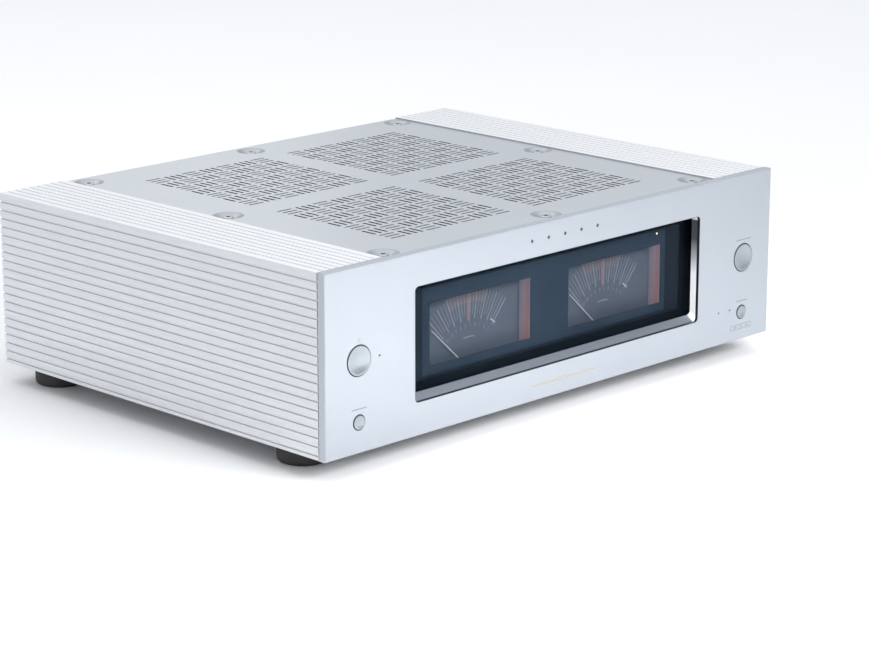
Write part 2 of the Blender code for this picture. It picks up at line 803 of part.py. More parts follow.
def power_inlet():
    """A three-pin inlet: flange, shell, a cavity for the plug, and three blades in it."""
    x, z = INLET
    face = REAR + GAP
    plate = round_rectangle(*around(x, z, 0.0190, 0.0125), 0.003, 3)
    inlet = add("power_inlet", prism(blank(), "Y", face, face + 0.0025, plate), "dark_plastic")
    low = (x - 0.0138, REAR - 0.020, z - 0.0098)
    join(inlet, block(blank(), low, (x + 0.0138, face + 0.001, z + 0.0098)))
    half, corner = (0.012, 0.008), 0.004
    right = [(half[0], -half[1]), (half[0], corner), (corner * 2, half[1])]
    left = [(-u, v) for u, v in reversed(right)]
    outline = [(x + u, z + v) for u, v in right + left]
    cut(inlet, prism(blank(), "Y", REAR - 0.0155, face + 0.004, outline))
    blades = blank()
    for u, v in ((-0.007, -0.001), (0.007, -0.001), (0, 0.0035)):
        low = (x + u - 0.001, REAR - 0.0175, z + v - 0.002)
        block(blades, low, (x + u + 0.001, REAR - 0.003, z + v + 0.002))
    join(inlet, blades)


def main_switch():
    """A rocker switch: its housing in the panel, and the rocker on a crosswise axis."""
    x, z = SWITCH
    face = REAR + GAP
    plate = block(blank(), (x - 0.0125, face, z - 0.0085), (x + 0.0125, face + 0.0015, z + 0.0085))
    housing = add("main_switch_housing", plate, "dark_plastic")
    low = (x - 0.0104, REAR - 0.018, z - 0.0064)
    join(housing, block(blank(), low, (x + 0.0104, face + 0.001, z + 0.0064)))
    low = (x - 0.0092, REAR - 0.012, z - 0.0052)
    cut(housing, block(blank(), low, (x + 0.0092, face + 0.004, z + 0.0052)))
    pivot = Vector((x, REAR - ROCKER_PIVOT))
    right = [(0, 0.0032), (0.0082, 0.0045), (0.006, -0.0022), (0, -0.0045)]
    section = right + [(-u, v) for u, v in reversed(right[1:3])]
    turn = Matrix.Rotation(ROCKER_TILT, 2)
    outline = [pivot + turn @ Vector(point) for point in section]
    rocker = prism(blank(), "Z", z - 0.0048, z + 0.0048, outline)
    add("main_switch_rocker", rocker, "dark_plastic", (*pivot, z))


def speaker_terminals(name, channel):
    """An insulating block outside the panel with two threaded posts that run through it."""
    face = REAR + GAP
    half = POST_PITCH / 2 + 0.012
    plate = round_rectangle(*around(channel, SPEAKER_Z, half, 0.013), 0.004, 3)
    block_end = face + 0.003
    terminals = add(name, prism(blank(), "Y", face, block_end, plate), "dark_plastic")
    posts = blank()
    bores = blank()
    for x in (channel - POST_PITCH / 2, channel + POST_PITCH / 2):
        profile = [
            (0, REAR - 0.012),
            (0.0065, REAR - 0.012),
            (0.0065, block_end - 0.001),
            (POST_RADIUS, block_end - 0.001),
            (POST_RADIUS, REAR + POST_END),
            (0, REAR + POST_END),
        ]
        turned(posts, "Y", x, SPEAKER_Z, profile, 16)
        cylinder(bores, "Y", x, SPEAKER_Z, 0.0020, REAR + 0.002, REAR + REAR_REACH, 12)
    join(terminals, posts)
    cut(terminals, bores)


def post_cap(name, x, finish):
    """A knurled clamping cap that turns on its post; its end is open for a plug."""
    start = REAR + 0.0050
    end = REAR + REAR_REACH
    teeth = 14
    knurl = []
    for step in range(2 * teeth):
        radius = POST_CAP_RADIUS - (0.0006 if step % 2 else 0)
        angle = math.tau * step / (2 * teeth)
        knurl.append((x + radius * math.cos(angle), SPEAKER_Z + radius * math.sin(angle)))
    cap = add(name, prism(blank(), "Y", start, end, knurl), finish, (x, end, SPEAKER_Z))
    bore = cylinder(blank(), "Y", x, SPEAKER_Z, POST_RADIUS + GAP, start - 0.001, end + 0.001, 16)
    cut(cap, bore)


def connectors():
    xlr_input("left_xlr_input", XLR_Z[0])
    xlr_input("right_xlr_input", XLR_Z[1])
    rca_inputs()
    input_selector()
    power_inlet()
    main_switch()
    for side, channel in (("left", -SPEAKER_X), ("right", SPEAKER_X)):
        speaker_terminals(f"{side}_speaker_terminals", channel)
        post_cap(f"{side}_positive_cap", channel + POST_PITCH / 2, "red_cap")
        post_cap(f"{side}_negative_cap", channel - POST_PITCH / 2, "black_cap")


# ---------------------------------------------------------------- inside


def transformer(floor):
    y = FRONT + 0.118
    middle = (TRANSFORMER_RADIUS + TRANSFORMER_HOLE) / 2
    half = (TRANSFORMER_RADIUS - TRANSFORMER_HOLE) / 2
    top = floor + TRANSFORMER_HEIGHT
    ring = round_rectangle(middle - half, middle + half, floor, top, 0.008, 1)
    shape = turned(blank(), "Z", 0, y, ring, 24, closed=True)
    add("toroidal_transformer", shape, "copper_winding", smooth=True)


def heat_sink(name, sign, floor):
    """A comb section, extruded upwards: its back carries the output board, its fins face out."""
    back, root, tip = 0.162, 0.168, 0.205
    first, last = FRONT + 0.062, FRONT + 0.270
    pitch = (last - first) / HEAT_SINK_FINS
    outline = [(sign * back, first), (sign * back, last)]
    for fin in reversed(range(HEAT_SINK_FINS)):
        end = first + (fin + 1) * pitch
        outline += [
            (sign * tip, end),
            (sign * tip, end - pitch * 0.3),
            (sign * root, end - pitch * 0.3),
            (sign * root, end - pitch),
        ]
    outline[-1] = (sign * root, first)
    shape = prism(blank(), "Z", floor, floor + 0.085, outline)
    add(name, shape, "dark_plastic")


def amplifier_board(name, sign, floor):
    """A board beside the heat sink with its row of output devices and two coils."""
    near, far = sorted((sign * 0.104, sign * 0.1612))
    front, rear = FRONT + 0.070, FRONT + 0.262
    low = floor + 0.008
    board = add(name, block(blank(), (near, front, low), (far, rear, low + BOARD)), "board_green")
    devices = blank()
    for step in range(4):
        y = front + 0.025 + step * 0.045
        u0, u1 = sorted((sign * 0.156, sign * 0.161))
        block(devices, (u0, y - 0.008, low + BOARD / 2), (u1, y + 0.008, low + 0.028))
    for y in (front + 0.05, rear - 0.04):
        cylinder(devices, "Z", sign * 0.126, y, 0.008, low + BOARD / 2, low + 0.022, 14)
    join(board, devices)


def power_supply(floor):
    low = floor + 0.006
    centre = FRONT + 0.232
    board = block(blank(), (-0.085, centre - 0.036, low), (0.085, centre + 0.036, low + BOARD))
    add("power_supply_board", board, "board_green")
    base = low + BOARD + GAP
    radius = CAPACITOR_RADIUS
    end = base + CAPACITOR_HEIGHT
    profile = [(0, base), (radius, base), (radius, end - 0.001), (radius - 0.001, end), (0, end)]
    for name, x in (("left", -CAPACITOR_X), ("right", CAPACITOR_X)):
        shape = turned(blank(), "Z", x, centre, profile, 24)
        add(f"{name}_filter_capacitor", shape, "black_sleeve", smooth=True)


def inside():
    floor = FOOT_HEIGHT + 0.0006 + PAN + GAP
    transformer(floor)
    for name, sign in (("left", -1), ("right", 1)):
        heat_sink(f"{name}_heat_sink", sign, floor)
        amplifier_board(f"{name}_amplifier_board", sign, floor)
    power_supply(floor)


def main():
    clear_scene()
    front_panel()
    window_bezel()
    window_glass()
    meter_mask()
    meters()
    controls()
    side_panels()
    top_cover()
    cover_screws()
    front_cross_rail()
    bottom_pan()
    feet()
    rear_panel()
    connectors()
    inside()


main()
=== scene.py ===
"""Looks for the power amplifier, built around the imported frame. Metres, +Z up, front facing -Y."""

import json
import math

import bmesh
import bpy
from mathutils import Matrix, Vector

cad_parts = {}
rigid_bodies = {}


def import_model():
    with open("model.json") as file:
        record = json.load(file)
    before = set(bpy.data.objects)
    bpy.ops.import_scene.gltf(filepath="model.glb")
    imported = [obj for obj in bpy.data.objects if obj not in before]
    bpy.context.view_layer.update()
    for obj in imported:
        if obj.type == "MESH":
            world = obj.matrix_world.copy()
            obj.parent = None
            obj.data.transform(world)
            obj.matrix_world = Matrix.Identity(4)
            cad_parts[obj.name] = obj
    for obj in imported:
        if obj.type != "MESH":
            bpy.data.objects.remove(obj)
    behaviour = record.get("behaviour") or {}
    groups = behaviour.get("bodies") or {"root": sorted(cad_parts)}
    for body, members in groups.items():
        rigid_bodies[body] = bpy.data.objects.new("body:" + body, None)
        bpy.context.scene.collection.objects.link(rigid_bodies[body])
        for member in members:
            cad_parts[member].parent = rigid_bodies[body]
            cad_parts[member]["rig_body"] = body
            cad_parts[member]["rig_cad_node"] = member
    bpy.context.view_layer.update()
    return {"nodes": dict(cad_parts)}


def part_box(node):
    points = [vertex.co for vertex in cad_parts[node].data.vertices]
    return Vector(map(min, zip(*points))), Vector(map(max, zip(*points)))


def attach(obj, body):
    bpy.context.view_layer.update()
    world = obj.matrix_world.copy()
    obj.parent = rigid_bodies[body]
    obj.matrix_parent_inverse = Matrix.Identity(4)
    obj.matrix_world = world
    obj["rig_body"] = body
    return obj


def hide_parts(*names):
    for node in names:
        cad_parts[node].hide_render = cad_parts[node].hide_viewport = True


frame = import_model()

CHASSIS = "chassis"
AXES = {"X": Vector((1, 0, 0)), "Y": Vector((0, 1, 0)), "Z": Vector((0, 0, 1))}
MM = 0.001

# Places read from the frame
PANEL_LOW, PANEL_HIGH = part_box("front_panel")
FRONT = PANEL_LOW.y
PANEL_REAR = PANEL_HIGH.y
TOP = PANEL_HIGH.z
BASE = PANEL_LOW.z
HALF = PANEL_HIGH.x
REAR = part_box("left_side_panel")[1].y
BEZEL_LOW, BEZEL_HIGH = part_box("window_bezel")
GLASS_LOW, GLASS_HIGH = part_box("window_glass")
COVER_LOW, COVER_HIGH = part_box("top_cover")

# Front panel
PANEL_ROUND = 1.1 * MM
HOLE_GAP = 0.6 * MM
DISH_SHARE = 0.12  # depth of a button's dish over its radius
WINDOW_RADIUS = 3 * MM
# the window's black liner: painted shadow along the opening's edge
LINER_DEPTH = 2.1 * MM
LINER_WALL = 0.25 * MM
SILL_RISE = 4.1 * MM
BORDER_SIDE = 9.9 * MM
BORDER_TOP = 5 * MM
BORDER_BOTTOM = 9.5 * MM
BUTTONS = ("standby_button", "speaker_select_button", "meter_mode_button", "display_button")
BUTTON_RULES = (  # button, width of the bar above it and its height over the button's middle, in mm
    ("speaker_select_button", 13, 8.7),
    ("meter_mode_button", 17, 13.2),
    ("display_button", 12, 8.3),
)
BUTTON_FLANGE = 2 * MM  # how far the CAD button's hidden flange stands out past its cap
LED_HOLE = 0.75 * MM
PRINT, PRINT_ROOT = 0.03 * MM, 0.05 * MM  # how far the printed marks stand out of the face and in it

# Meters
OPENING_LEFT, OPENING_RIGHT = -46.7 * MM, 48.3 * MM  # from the meter's middle
METER_OPENING = (TOP - 82 * MM, TOP - 40.2 * MM)
MASK_HALF = 119 * MM
MASK_BOTTOM, MASK_TOP = TOP - 88 * MM, TOP - 30 * MM
MASK_FACE = FRONT + 14.2 * MM
MASK_SHEET = 0.4 * MM
LAMP_PLACE = (109.5 * MM, TOP - 31.9 * MM)
SWEEP = 47
TICK_IN, TICK_OUT = 34.5 * MM, 50 * MM
NUMERAL_RADIUS = 30.5 * MM
SCALE_MARKS = ("20", "10", "7", "5", "3", "1", "0", "1", "2", "3")

# Ribbed side panels
SIDE_PITCH, SIDE_GROOVES = 5.85 * MM, 20
TOP_PITCH, TOP_GROOVES = 6.2 * MM, 8
GROOVE, GROOVE_DEPTH, RIB_ROUND = 1.25 * MM, 1.0 * MM, 0.32 * MM
FLANGE_WIDTH = 55.8 * MM
SIDE_THICK = 4.5 * MM

# Vents and dishes in the cover
CELLS, CELL_PITCH = 7, 16.2 * MM
CELL_FIRST_X, CELL_FIRST_Y = 18 * MM, 19.4 * MM
VENT_MIDDLE = (1.4 * MM, -1.8 * MM)  # middle of the four fields, from the middle of the cover
SLOT_LENGTH, SLOT_WIDTH, SLOT_PITCH = 13.2 * MM, 2.0 * MM, 5.3 * MM
DISH_RADIUS, DISH_DEPTH, DISH_SIDES = 10.6 * MM, 3 * MM, 48

# Glass, the window frame's painted glow and the light guides' glow
GLOSS_SHARE = 0.15
# the window frame's emission is a painted glow; the light guides are lit parts
CHROME_PAINTED_GLOW, GUIDE_GLOW = 0.4, 0.38

# Camera: the way it points, its place from the panel's lower front edge, and its lens
CAMERA_UP = Vector((0.1863, 0.1848, 0.9650))
CAMERA_BACK = Vector((-0.6853, -0.6794, 0.2624))
CAMERA_X, CAMERA_AHEAD, CAMERA_RISE = -1.35203, 1.21915, 0.54037
CAMERA_LENS = 117.5


# ---------------------------------------------------------------- mesh helpers


def blank():
    return bmesh.new()


def placed(axis, along, u, v):
    return {"X": (along, u, v), "Y": (u, along, v), "Z": (u, v, along)}[axis]


def block(shape, low, high):
    """A box between two corners."""
    size = [b - a for a, b in zip(low, high)]
    middle = [(a + b) / 2 for a, b in zip(low, high)]
    matrix = Matrix.Translation(middle) @ Matrix.Diagonal((*size, 1))
    bmesh.ops.create_cube(shape, size=1, matrix=matrix)
    return shape


def prism(shape, axis, start, end, outline):
    """An outline, extruded along an axis."""
    face = shape.faces.new([shape.verts.new(placed(axis, start, u, v)) for u, v in outline])
    made = bmesh.ops.extrude_face_region(shape, geom=[face])["geom"]
    moved = [item for item in made if isinstance(item, bmesh.types.BMVert)]
    bmesh.ops.translate(shape, vec=AXES[axis] * (end - start), verts=moved)
    return shape


def tube(shape, axis, rings):
    """A closed skin through (place, outline) rings of equal length; the last joins the first."""
    loops = []
    for along, outline in rings:
        loops.append([shape.verts.new(placed(axis, along, u, v)) for u, v in outline])
    faces = []
    for one, two in zip(loops, loops[1:] + loops[:1]):
        for i in range(len(one)):
            j = (i + 1) % len(one)
            faces.append(shape.faces.new((one[i], one[j], two[j], two[i])))
    return faces


def turned(shape, axis, centre, profile, sides=48, closed=False):
    """(radius, place along the axis) points spun about the axis; centre is the axis's own point."""
    radial = {"X": Vector((0, 1, 0)), "Y": Vector((1, 0, 0)), "Z": Vector((1, 0, 0))}[axis]
    base = Vector(centre)
    base[("X", "Y", "Z").index(axis)] = 0
    points = [shape.verts.new(base + radial * r + AXES[axis] * along) for r, along in profile]
    pairs = list(zip(points, points[1:])) + ([(points[-1], points[0])] if closed else [])
    edges = [shape.edges.new(pair) for pair in pairs]
    bmesh.ops.spin(
        shape, geom=points + edges, cent=base, axis=AXES[axis], angle=math.tau, steps=sides
    )
    bmesh.ops.remove_doubles(shape, verts=shape.verts, dist=1e-7)
    return shape


def arc(cu, cv, radius, first, last, steps):
    angles = [math.radians(first + (last - first) * i / steps) for i in range(steps + 1)]
    return [(cu + radius * math.cos(a), cv + radius * math.sin(a)) for a in angles]


def circle(cu, cv, radius, sides):
    return arc(cu, cv, radius, 0, 360 * (sides - 1) / sides, sides - 1)


def round_rectangle(u0, u1, v0, v1, radius, steps=6):
    return (
        arc(u1 - radius, v0 + radius, radius, -90, 0, steps)
        + arc(u1 - radius, v1 - radius, radius, 0, 90, steps)
        + arc(u0 + radius, v1 - radius, radius, 90, 180, steps)
        + arc(u0 + radius, v0 + radius, radius, 180, 270, steps)
    )


def slot_outline(cu, cv, half_u, half_v, steps=4):
    """A slot with round ends, longer along u or along v."""
    if half_u > half_v:
        reach = half_u - half_v
        return arc(cu + reach, cv, half_v, -90, 90, steps) + arc(cu - reach, cv, half_v, 90, 270, steps)
    reach = half_v - half_u
    return arc(cu, cv + reach, half_u, 0, 180, steps) + arc(cu, cv - reach, half_u, 180, 360, steps)


def plate(shape, axis, start, end, outline, holes):
    """A flat plate with any number of holes, as one closed body."""
    faces = {}
    for along in (start, end):
        edges = []
        for loop in (outline, *holes):
            verts = [shape.verts.new(placed(axis, along, u, v)) for u, v in loop]
            edges += [shape.edges.new((a, b)) for a, b in zip(verts, verts[1:] + verts[:1])]
            faces.setdefault(along, []).append(verts)
        bmesh.ops.triangle_fill(shape, use_beauty=True, use_dissolve=False, edges=edges)
    for one, two in zip(faces[start], faces[end]):
        for i in range(len(one)):
            j = (i + 1) % len(one)
            shape.faces.new((one[i], one[j], two[j], two[i]))
    return shape


def piece(name, shape, materials, body=CHASSIS, replaces=None, slot=None, angle=35):
    """Turns a bmesh into a named piece that rides on a CAD body."""
    bmesh.ops.remove_doubles(shape, verts=shape.verts, dist=1e-7)
    bmesh.ops.recalc_face_normals(shape, faces=shape.faces)
    mesh = bpy.data.meshes.new(name)
    shape.to_mesh(mesh)
    shape.free()
    mesh.shade_smooth()
    mesh.set_sharp_from_angle(angle=math.radians(angle))
    for material in materials if isinstance(materials, (list, tuple)) else [materials]:
        mesh.materials.append(material)
    obj = bpy.data.objects.new(name, mesh)
    bpy.context.scene.collection.objects.link(obj)
    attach(obj, body)
    if replaces:
        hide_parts(*([replaces] if isinstance(replaces, str) else replaces))
    return obj


def mm(points, place=0.0):
    """(radius, distance) pairs in millimetres, as metres from a place on the axis."""
    return [(radius * MM, place + along * MM) for radius, along in points]


def lathe(name, x, z, profile, sides, material, closed=False, **options):
    """A piece turned about an axis along Y through x and z."""
    shape = turned(blank(), "Y", (x, 0, z), profile, sides, closed)
    return piece(name, shape, material, **options)


def cut(obj, shape):
    """Cuts a helper solid out of a piece and keeps the result as its mesh."""
    bmesh.ops.recalc_face_normals(shape, faces=shape.faces)
    mesh = bpy.data.meshes.new("cutter")
    shape.to_mesh(mesh)
    shape.free()
    cutter = bpy.data.objects.new("cutter", mesh)
    bpy.context.scene.collection.objects.link(cutter)
    modifier = obj.modifiers.new("cut", "BOOLEAN")
    modifier.operation = "DIFFERENCE"
    modifier.solver = "EXACT"
    modifier.object = cutter
    bake_modifiers(obj)
    bpy.data.objects.remove(cutter, do_unlink=True)


def bake_modifiers(obj):
    """Replaces the piece's mesh by its evaluated one."""
    bpy.context.view_layer.update()
    evaluated = obj.evaluated_get(bpy.context.evaluated_depsgraph_get())
    mesh = bpy.data.meshes.new_from_object(evaluated)
    obj.modifiers.clear()
    obj.data = mesh


def soften(obj, width, segments=2, angle=30):
    """Rounds the piece's edges with a Bevel modifier, applied."""
    modifier = obj.modifiers.new("soften", "BEVEL")
    modifier.width = width
    modifier.segments = segments
    modifier.limit_method = "ANGLE"
    modifier.angle_limit = math.radians(angle)
    modifier.use_clamp_overlap = True
    modifier.harden_normals = True
    bake_modifiers(obj)


def weigh_normals():
    """Large flat faces keep flat shading next to their small rounded edges, on every new piece."""
    for obj in bpy.data.objects:
        if obj.type == "MESH" and "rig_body" in obj and "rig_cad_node" not in obj:
            modifier = obj.modifiers.new("weighted", "WEIGHTED_NORMAL")
            modifier.keep_sharp = True
            modifier.weight = 90


# ---------------------------------------------------------------- materials


class Look:
    """A Principled material and the few node moves that the finishes share."""

    def __init__(self, name, colour, roughness, metallic=0.0, **sockets):
        self.material = bpy.data.materials.new(name)
        self.material.use_nodes = True
        self.tree = self.material.node_tree
        self.shader = self.tree.nodes["Principled BSDF"]
        self.colour = colour
        self.shader.inputs["Base Color"].default_value = (*colour, 1)
        self.shader.inputs["Roughness"].default_value = roughness
        self.shader.inputs["Metallic"].default_value = metallic
        for socket, value in sockets.items():
            self.shader.inputs[socket.replace("_", " ")].default_value = value
        self.coordinates = self.tree.nodes.new("ShaderNodeTexCoord").outputs["Object"]

    def node(self, kind, **settings):
        made = self.tree.nodes.new("ShaderNode" + kind)
        for key, value in settings.items():
            setattr(made, key, value)
        return made

    def link(self, source, target):
        self.tree.links.new(source, target)

    def noise(self, scale, stretch=(1, 1, 1), detail=3.0, rough=0.6):
        mapping = self.node("Mapping")
        mapping.inputs["Scale"].default_value = stretch
        self.link(self.coordinates, mapping.inputs["Vector"])
        noise = self.node("TexNoise")
        noise.inputs["Scale"].default_value = scale
        noise.inputs["Detail"].default_value = detail
        noise.inputs["Roughness"].default_value = rough
        self.link(mapping.outputs["Vector"], noise.inputs["Vector"])
        return noise.outputs["Fac"]

    def spread(self, value, low, high, source=(0.3, 0.7)):
        """Maps a 0 to 1 pattern on to a range."""
        made = self.node("MapRange")
        made.inputs["From Min"].default_value, made.inputs["From Max"].default_value = source
        made.inputs["To Min"].default_value, made.inputs["To Max"].default_value = low, high
        self.link(value, made.inputs["Value"])
        return made.outputs["Result"]

    def tint(self, value, other, source=(0.3, 0.7), base=None):
        """Mixes the base colour towards another by a pattern."""
        mix = self.node("Mix", data_type="RGBA")
        mix.inputs["A"].default_value = (*self.colour, 1)
        mix.inputs["B"].default_value = (*other, 1)
        if base is not None:
            self.link(base, mix.inputs["A"])
        self.link(self.spread(value, 0, 1, source), mix.inputs["Factor"])
        self.link(mix.outputs["Result"], self.shader.inputs["Base Color"])
        return mix.outputs["Result"]

    def rough(self, value, low, high):
        self.link(self.spread(value, low, high), self.shader.inputs["Roughness"])

    def bump(self, value, strength, distance=0.0002):
        bump = self.node("Bump")
        bump.inputs["Strength"].default_value = strength
        bump.inputs["Distance"].default_value = distance
        self.link(value, bump.inputs["Height"])
        self.link(bump.outputs["Normal"], self.shader.inputs["Normal"])


def shade(colour, factor):
    return tuple(min(1.0, c * factor) for c in colour)


def satin(name, colour, roughness, grain=5200, stretch=(1, 1, 1), strength=0.12, metallic=1.0, **sockets):
    """Bead-blasted, anodised aluminium: very fine grain and slight cloudiness."""
    look = Look(name, colour, roughness, metallic, **sockets)
    fine = look.noise(grain, stretch, 2.0)
    cloud = look.noise(14, (1, 1, 1), 4.0)
    clouded = look.tint(cloud, shade(colour, 0.965))
    look.tint(fine, shade(colour, 0.93), (0.35, 0.9), clouded)
    look.rough(fine, roughness - 0.035, roughness + 0.045)
    look.bump(fine, strength, 0.00005)
    return look.material


def brushed(name, colour, roughness, along, strength=0.25, metallic=1.0, **sockets):
    """Metal with hairlines along one axis."""
    look = Look(name, colour, roughness, metallic, **sockets)
    stretch = tuple(0.012 if axis == along else 1 for axis in "XYZ")
    lines = look.noise(3400, stretch, 3.0, 0.7)
    broad = look.noise(420, stretch, 2.0)
    banded = look.tint(broad, shade(colour, 0.95))
    look.tint(lines, shade(colour, 0.86), (0.35, 0.75), banded)
    look.rough(lines, roughness - 0.05, roughness + 0.08)
    look.bump(lines, strength, 0.00005)
    return look.material


def moulded(name, colour, roughness, strength=0.2, grain=2600, **sockets):
    """Moulded plastic or rubber with a fine texture and faint wear."""
    look = Look(name, colour, roughness, 0.0, **sockets)
    fine = look.noise(grain, (1, 1, 1), 2.0)
    cloud = look.noise(40, (1, 1, 1), 3.0)
    clouded = look.tint(cloud, tuple(c * 1.25 + 0.002 for c in colour))
    look.tint(fine, tuple(c * 1.15 + 0.002 for c in colour), (0.4, 0.8), clouded)
    look.rough(fine, roughness - 0.05, min(1.0, roughness + 0.08))
    look.bump(fine, strength, 0.0001)
    return look.material


def printed(name, colour, glow=0.0, **sockets):
    """Ink or paint print, slightly uneven, with an optional faint painted glow."""
    look = Look(name, colour, 0.55, **sockets)
    look.tint(look.noise(900, (1, 1, 1), 2.0), shade(colour, 0.82))
    if glow:
        look.shader.inputs["Emission Color"].default_value = (*colour, 1)
        look.shader.inputs["Emission Strength"].default_value = glow
    return look.material


def glowing(name, colour, strength):
    look = Look(name, colour, 0.4)
    look.tint(look.noise(700), shade(colour, 0.9))
    look.shader.inputs["Emission Color"].default_value = (*colour, 1)
    look.shader.inputs["Emission Strength"].default_value = strength
    return look.material


def pane(name, tint):
    """Smoked glass: a tinted see-through pane with a mirror gloss that grows at a grazing angle."""
    look = Look(name, (0.05, 0.06, 0.07), 0.03)
    nodes = look.tree.nodes
    clear = look.node("BsdfTransparent")
    smoke = look.noise(9, (1, 1, 1), 2.0)
    mix = look.node("Mix", data_type="RGBA")
    mix.inputs["A"].default_value = (*tint, 1)
    mix.inputs["B"].default_value = (*shade(tint, 0.94), 1)
    look.link(look.spread(smoke, 0, 1), mix.inputs["Factor"])
    look.link(mix.outputs["Result"], clear.inputs["Color"])
    facing = look.node("LayerWeight")
    facing.inputs["Blend"].default_value = 0.5
    power = look.node("Math", operation="POWER")
    power.inputs[1].default_value = 5.0
    look.link(facing.outputs["Facing"], power.inputs[0])
    mirror = look.node("Mix", data_type="RGBA")
    mirror.inputs["A"].default_value = (0.016, 0.028, 0.045, 1)
    mirror.inputs["B"].default_value = (0.85, 0.90, 0.95, 1)
    look.link(power.outputs[0], mirror.inputs["Factor"])
    gloss = look.node("BsdfGlossy")
    gloss.inputs["Roughness"].default_value = 0.02
    look.link(mirror.outputs["Result"], gloss.inputs["Color"])
    both = look.node("MixShader")
    both.inputs["Fac"].default_value = GLOSS_SHARE
    look.link(clear.outputs["BSDF"], both.inputs[1])
    look.link(gloss.outputs["BSDF"], both.inputs[2])
    look.link(both.outputs["Shader"], nodes["Material Output"].inputs["Surface"])
    nodes.remove(look.shader)
    return look.material


def painted_reflection_metal(name, roughness, low, high, tones):
    """Polished metal whose tone runs with height: a painted reflection of a dark ceiling over a bright table, also
    given out as a painted glow.
    """
    look = Look(name, tones[0][1], roughness, 0.3)
    parts = look.node("SeparateXYZ")
    look.link(look.coordinates, parts.inputs["Vector"])
    rise = look.spread(parts.outputs["Z"], 0, 1, (low, high))
    ramp = look.node("ValToRGB")
    stops = ramp.color_ramp.elements
    stops[0].position, stops[0].color = tones[0][0], (*tones[0][1], 1)
    stops[1].position, stops[1].color = tones[-1][0], (*tones[-1][1], 1)
    for position, colour in tones[1:-1]:
        stops.new(position).color = (*colour, 1)
    look.link(rise, ramp.inputs["Fac"])
    look.link(ramp.outputs["Color"], look.shader.inputs["Base Color"])
    # the same ramp drives the emission: a painted glow in the frame's colours
    look.link(ramp.outputs["Color"], look.shader.inputs["Emission Color"])
    look.shader.inputs["Emission Strength"].default_value = CHROME_PAINTED_GLOW
    look.rough(look.noise(3000), roughness - 0.05, roughness + 0.05)
    look.bump(look.noise(3000), 0.02, 0.00005)
    return look.material


def light_guide(name, low, high, front, rear):
    """A fluted side light: pink, redder low down and towards the front of the meter."""
    look = Look(name, (0.45, 0.30, 0.31), 0.35)
    parts = look.node("SeparateXYZ")
    look.link(look.coordinates, parts.inputs["Vector"])
    down = look.spread(parts.outputs["Z"], 1, 0, (low, high))
    forward = look.spread(parts.outputs["Y"], 1, 0, (front, rear))
    ramp = look.node("ValToRGB")
    stops = ramp.color_ramp.elements
    stops[0].position, stops[0].color = 0.0, (0.34, 0.33, 0.39, 1)
    stops[1].position, stops[1].color = 1.0, (0.32, 0.30, 0.35, 1)
    tones = ((0.40, (0.42, 0.37, 0.42)), (0.60, (0.50, 0.36, 0.38)), (0.70, (0.40, 0.32, 0.37)),
             (0.84, (0.58, 0.27, 0.25)), (0.92, (0.40, 0.24, 0.26)))
    for position, colour in tones:
        stops.new(position).color = (*colour, 1)
    look.link(forward, ramp.inputs["Fac"])
    warm = look.node("Mix", data_type="RGBA")
    warm.inputs["B"].default_value = (0.52, 0.24, 0.22, 1)
    look.link(ramp.outputs["Color"], warm.inputs["A"])
    product = look.node("Math", operation="MULTIPLY")
    look.link(down, product.inputs[0])
    look.link(forward, product.inputs[1])
    look.link(product.outputs[0], warm.inputs["Factor"])
    look.link(warm.outputs["Result"], look.shader.inputs["Base Color"])
    look.link(warm.outputs["Result"], look.shader.inputs["Emission Color"])
    look.shader.inputs["Emission Strength"].default_value = GUIDE_GLOW
    look.bump(look.noise(1500, (1, 1, 0.02), 1.0), 0.3)
    return look.material


SILVER = (0.50, 0.535, 0.585)
PANEL_SILVER = satin("panel_silver", SILVER, 0.36, strength=0.08, metallic=0.75)
COVER_SILVER = satin("cover_silver", (0.61, 0.635, 0.67), 0.36, strength=0.10, metallic=0.8)
RIB_SILVER = brushed("rib_silver", (0.80, 0.815, 0.835), 0.42, "Y", 0.30)
# lighter, more diffuse copy of the rib metal for the faces on top: painted highlight
RIB_TOP_LIT = brushed("rib_top_painted_highlight", (0.84, 0.85, 0.86), 0.58, "Y", 0.12, 0.5)
# darker copy of the silver for the flange's inner end face: painted shade
STEP_SHADED_SILVER = satin("step_painted_shade_silver", (0.52, 0.54, 0.57), 0.5, strength=0.08, metallic=0.6)
# near-black for the vent slots' walls that face ±X: painted shade
SLOT_WALL_SHADE = moulded("slot_wall_painted_shade", (0.045, 0.050, 0.058), 0.5, 0.05)
# darker copy of the cover's metal for the pressed dishes: painted shade in the hollows
DISH_SHADED_SILVER = satin("dish_painted_shade_silver", (0.40, 0.42, 0.45), 0.40, strength=0.08, metallic=0.8)
BUTTON_SILVER = satin("button_silver", (0.41, 0.45, 0.485), 0.26, 6500, strength=0.10)
# painted reflection: bright low on the frame, dark higher up, with a thin bright painted highlight along the top edge
CHROME_PAINTED_REFLECTION = ((0.0, (0.95, 0.95, 0.97)), (0.45, (0.90, 0.91, 0.94)), (0.60, (0.42, 0.42, 0.46)),
                (0.78, (0.07, 0.07, 0.085)), (0.955, (0.06, 0.06, 0.07)), (0.975, (0.95, 0.95, 0.97)))
CHROME = painted_reflection_metal("bezel_chrome_painted_reflection", 0.22, BEZEL_LOW.z, BEZEL_HIGH.z, CHROME_PAINTED_REFLECTION)
SILL_STEEL = brushed("sill_steel", (0.40, 0.43, 0.49), 0.34, "X", 0.35)
# black for the window's liner and the buttons' sleeves: painted shadow in those gaps
SHADOW_LINER = moulded("shadow_liner_black", (0.010, 0.012, 0.016), 0.35, 0.1)
BORDER = printed("border_black", (0.0015, 0.002, 0.003), Specular_IOR_Level=0.1)
GLASS = pane("smoked_pane", (0.90, 0.93, 0.95))
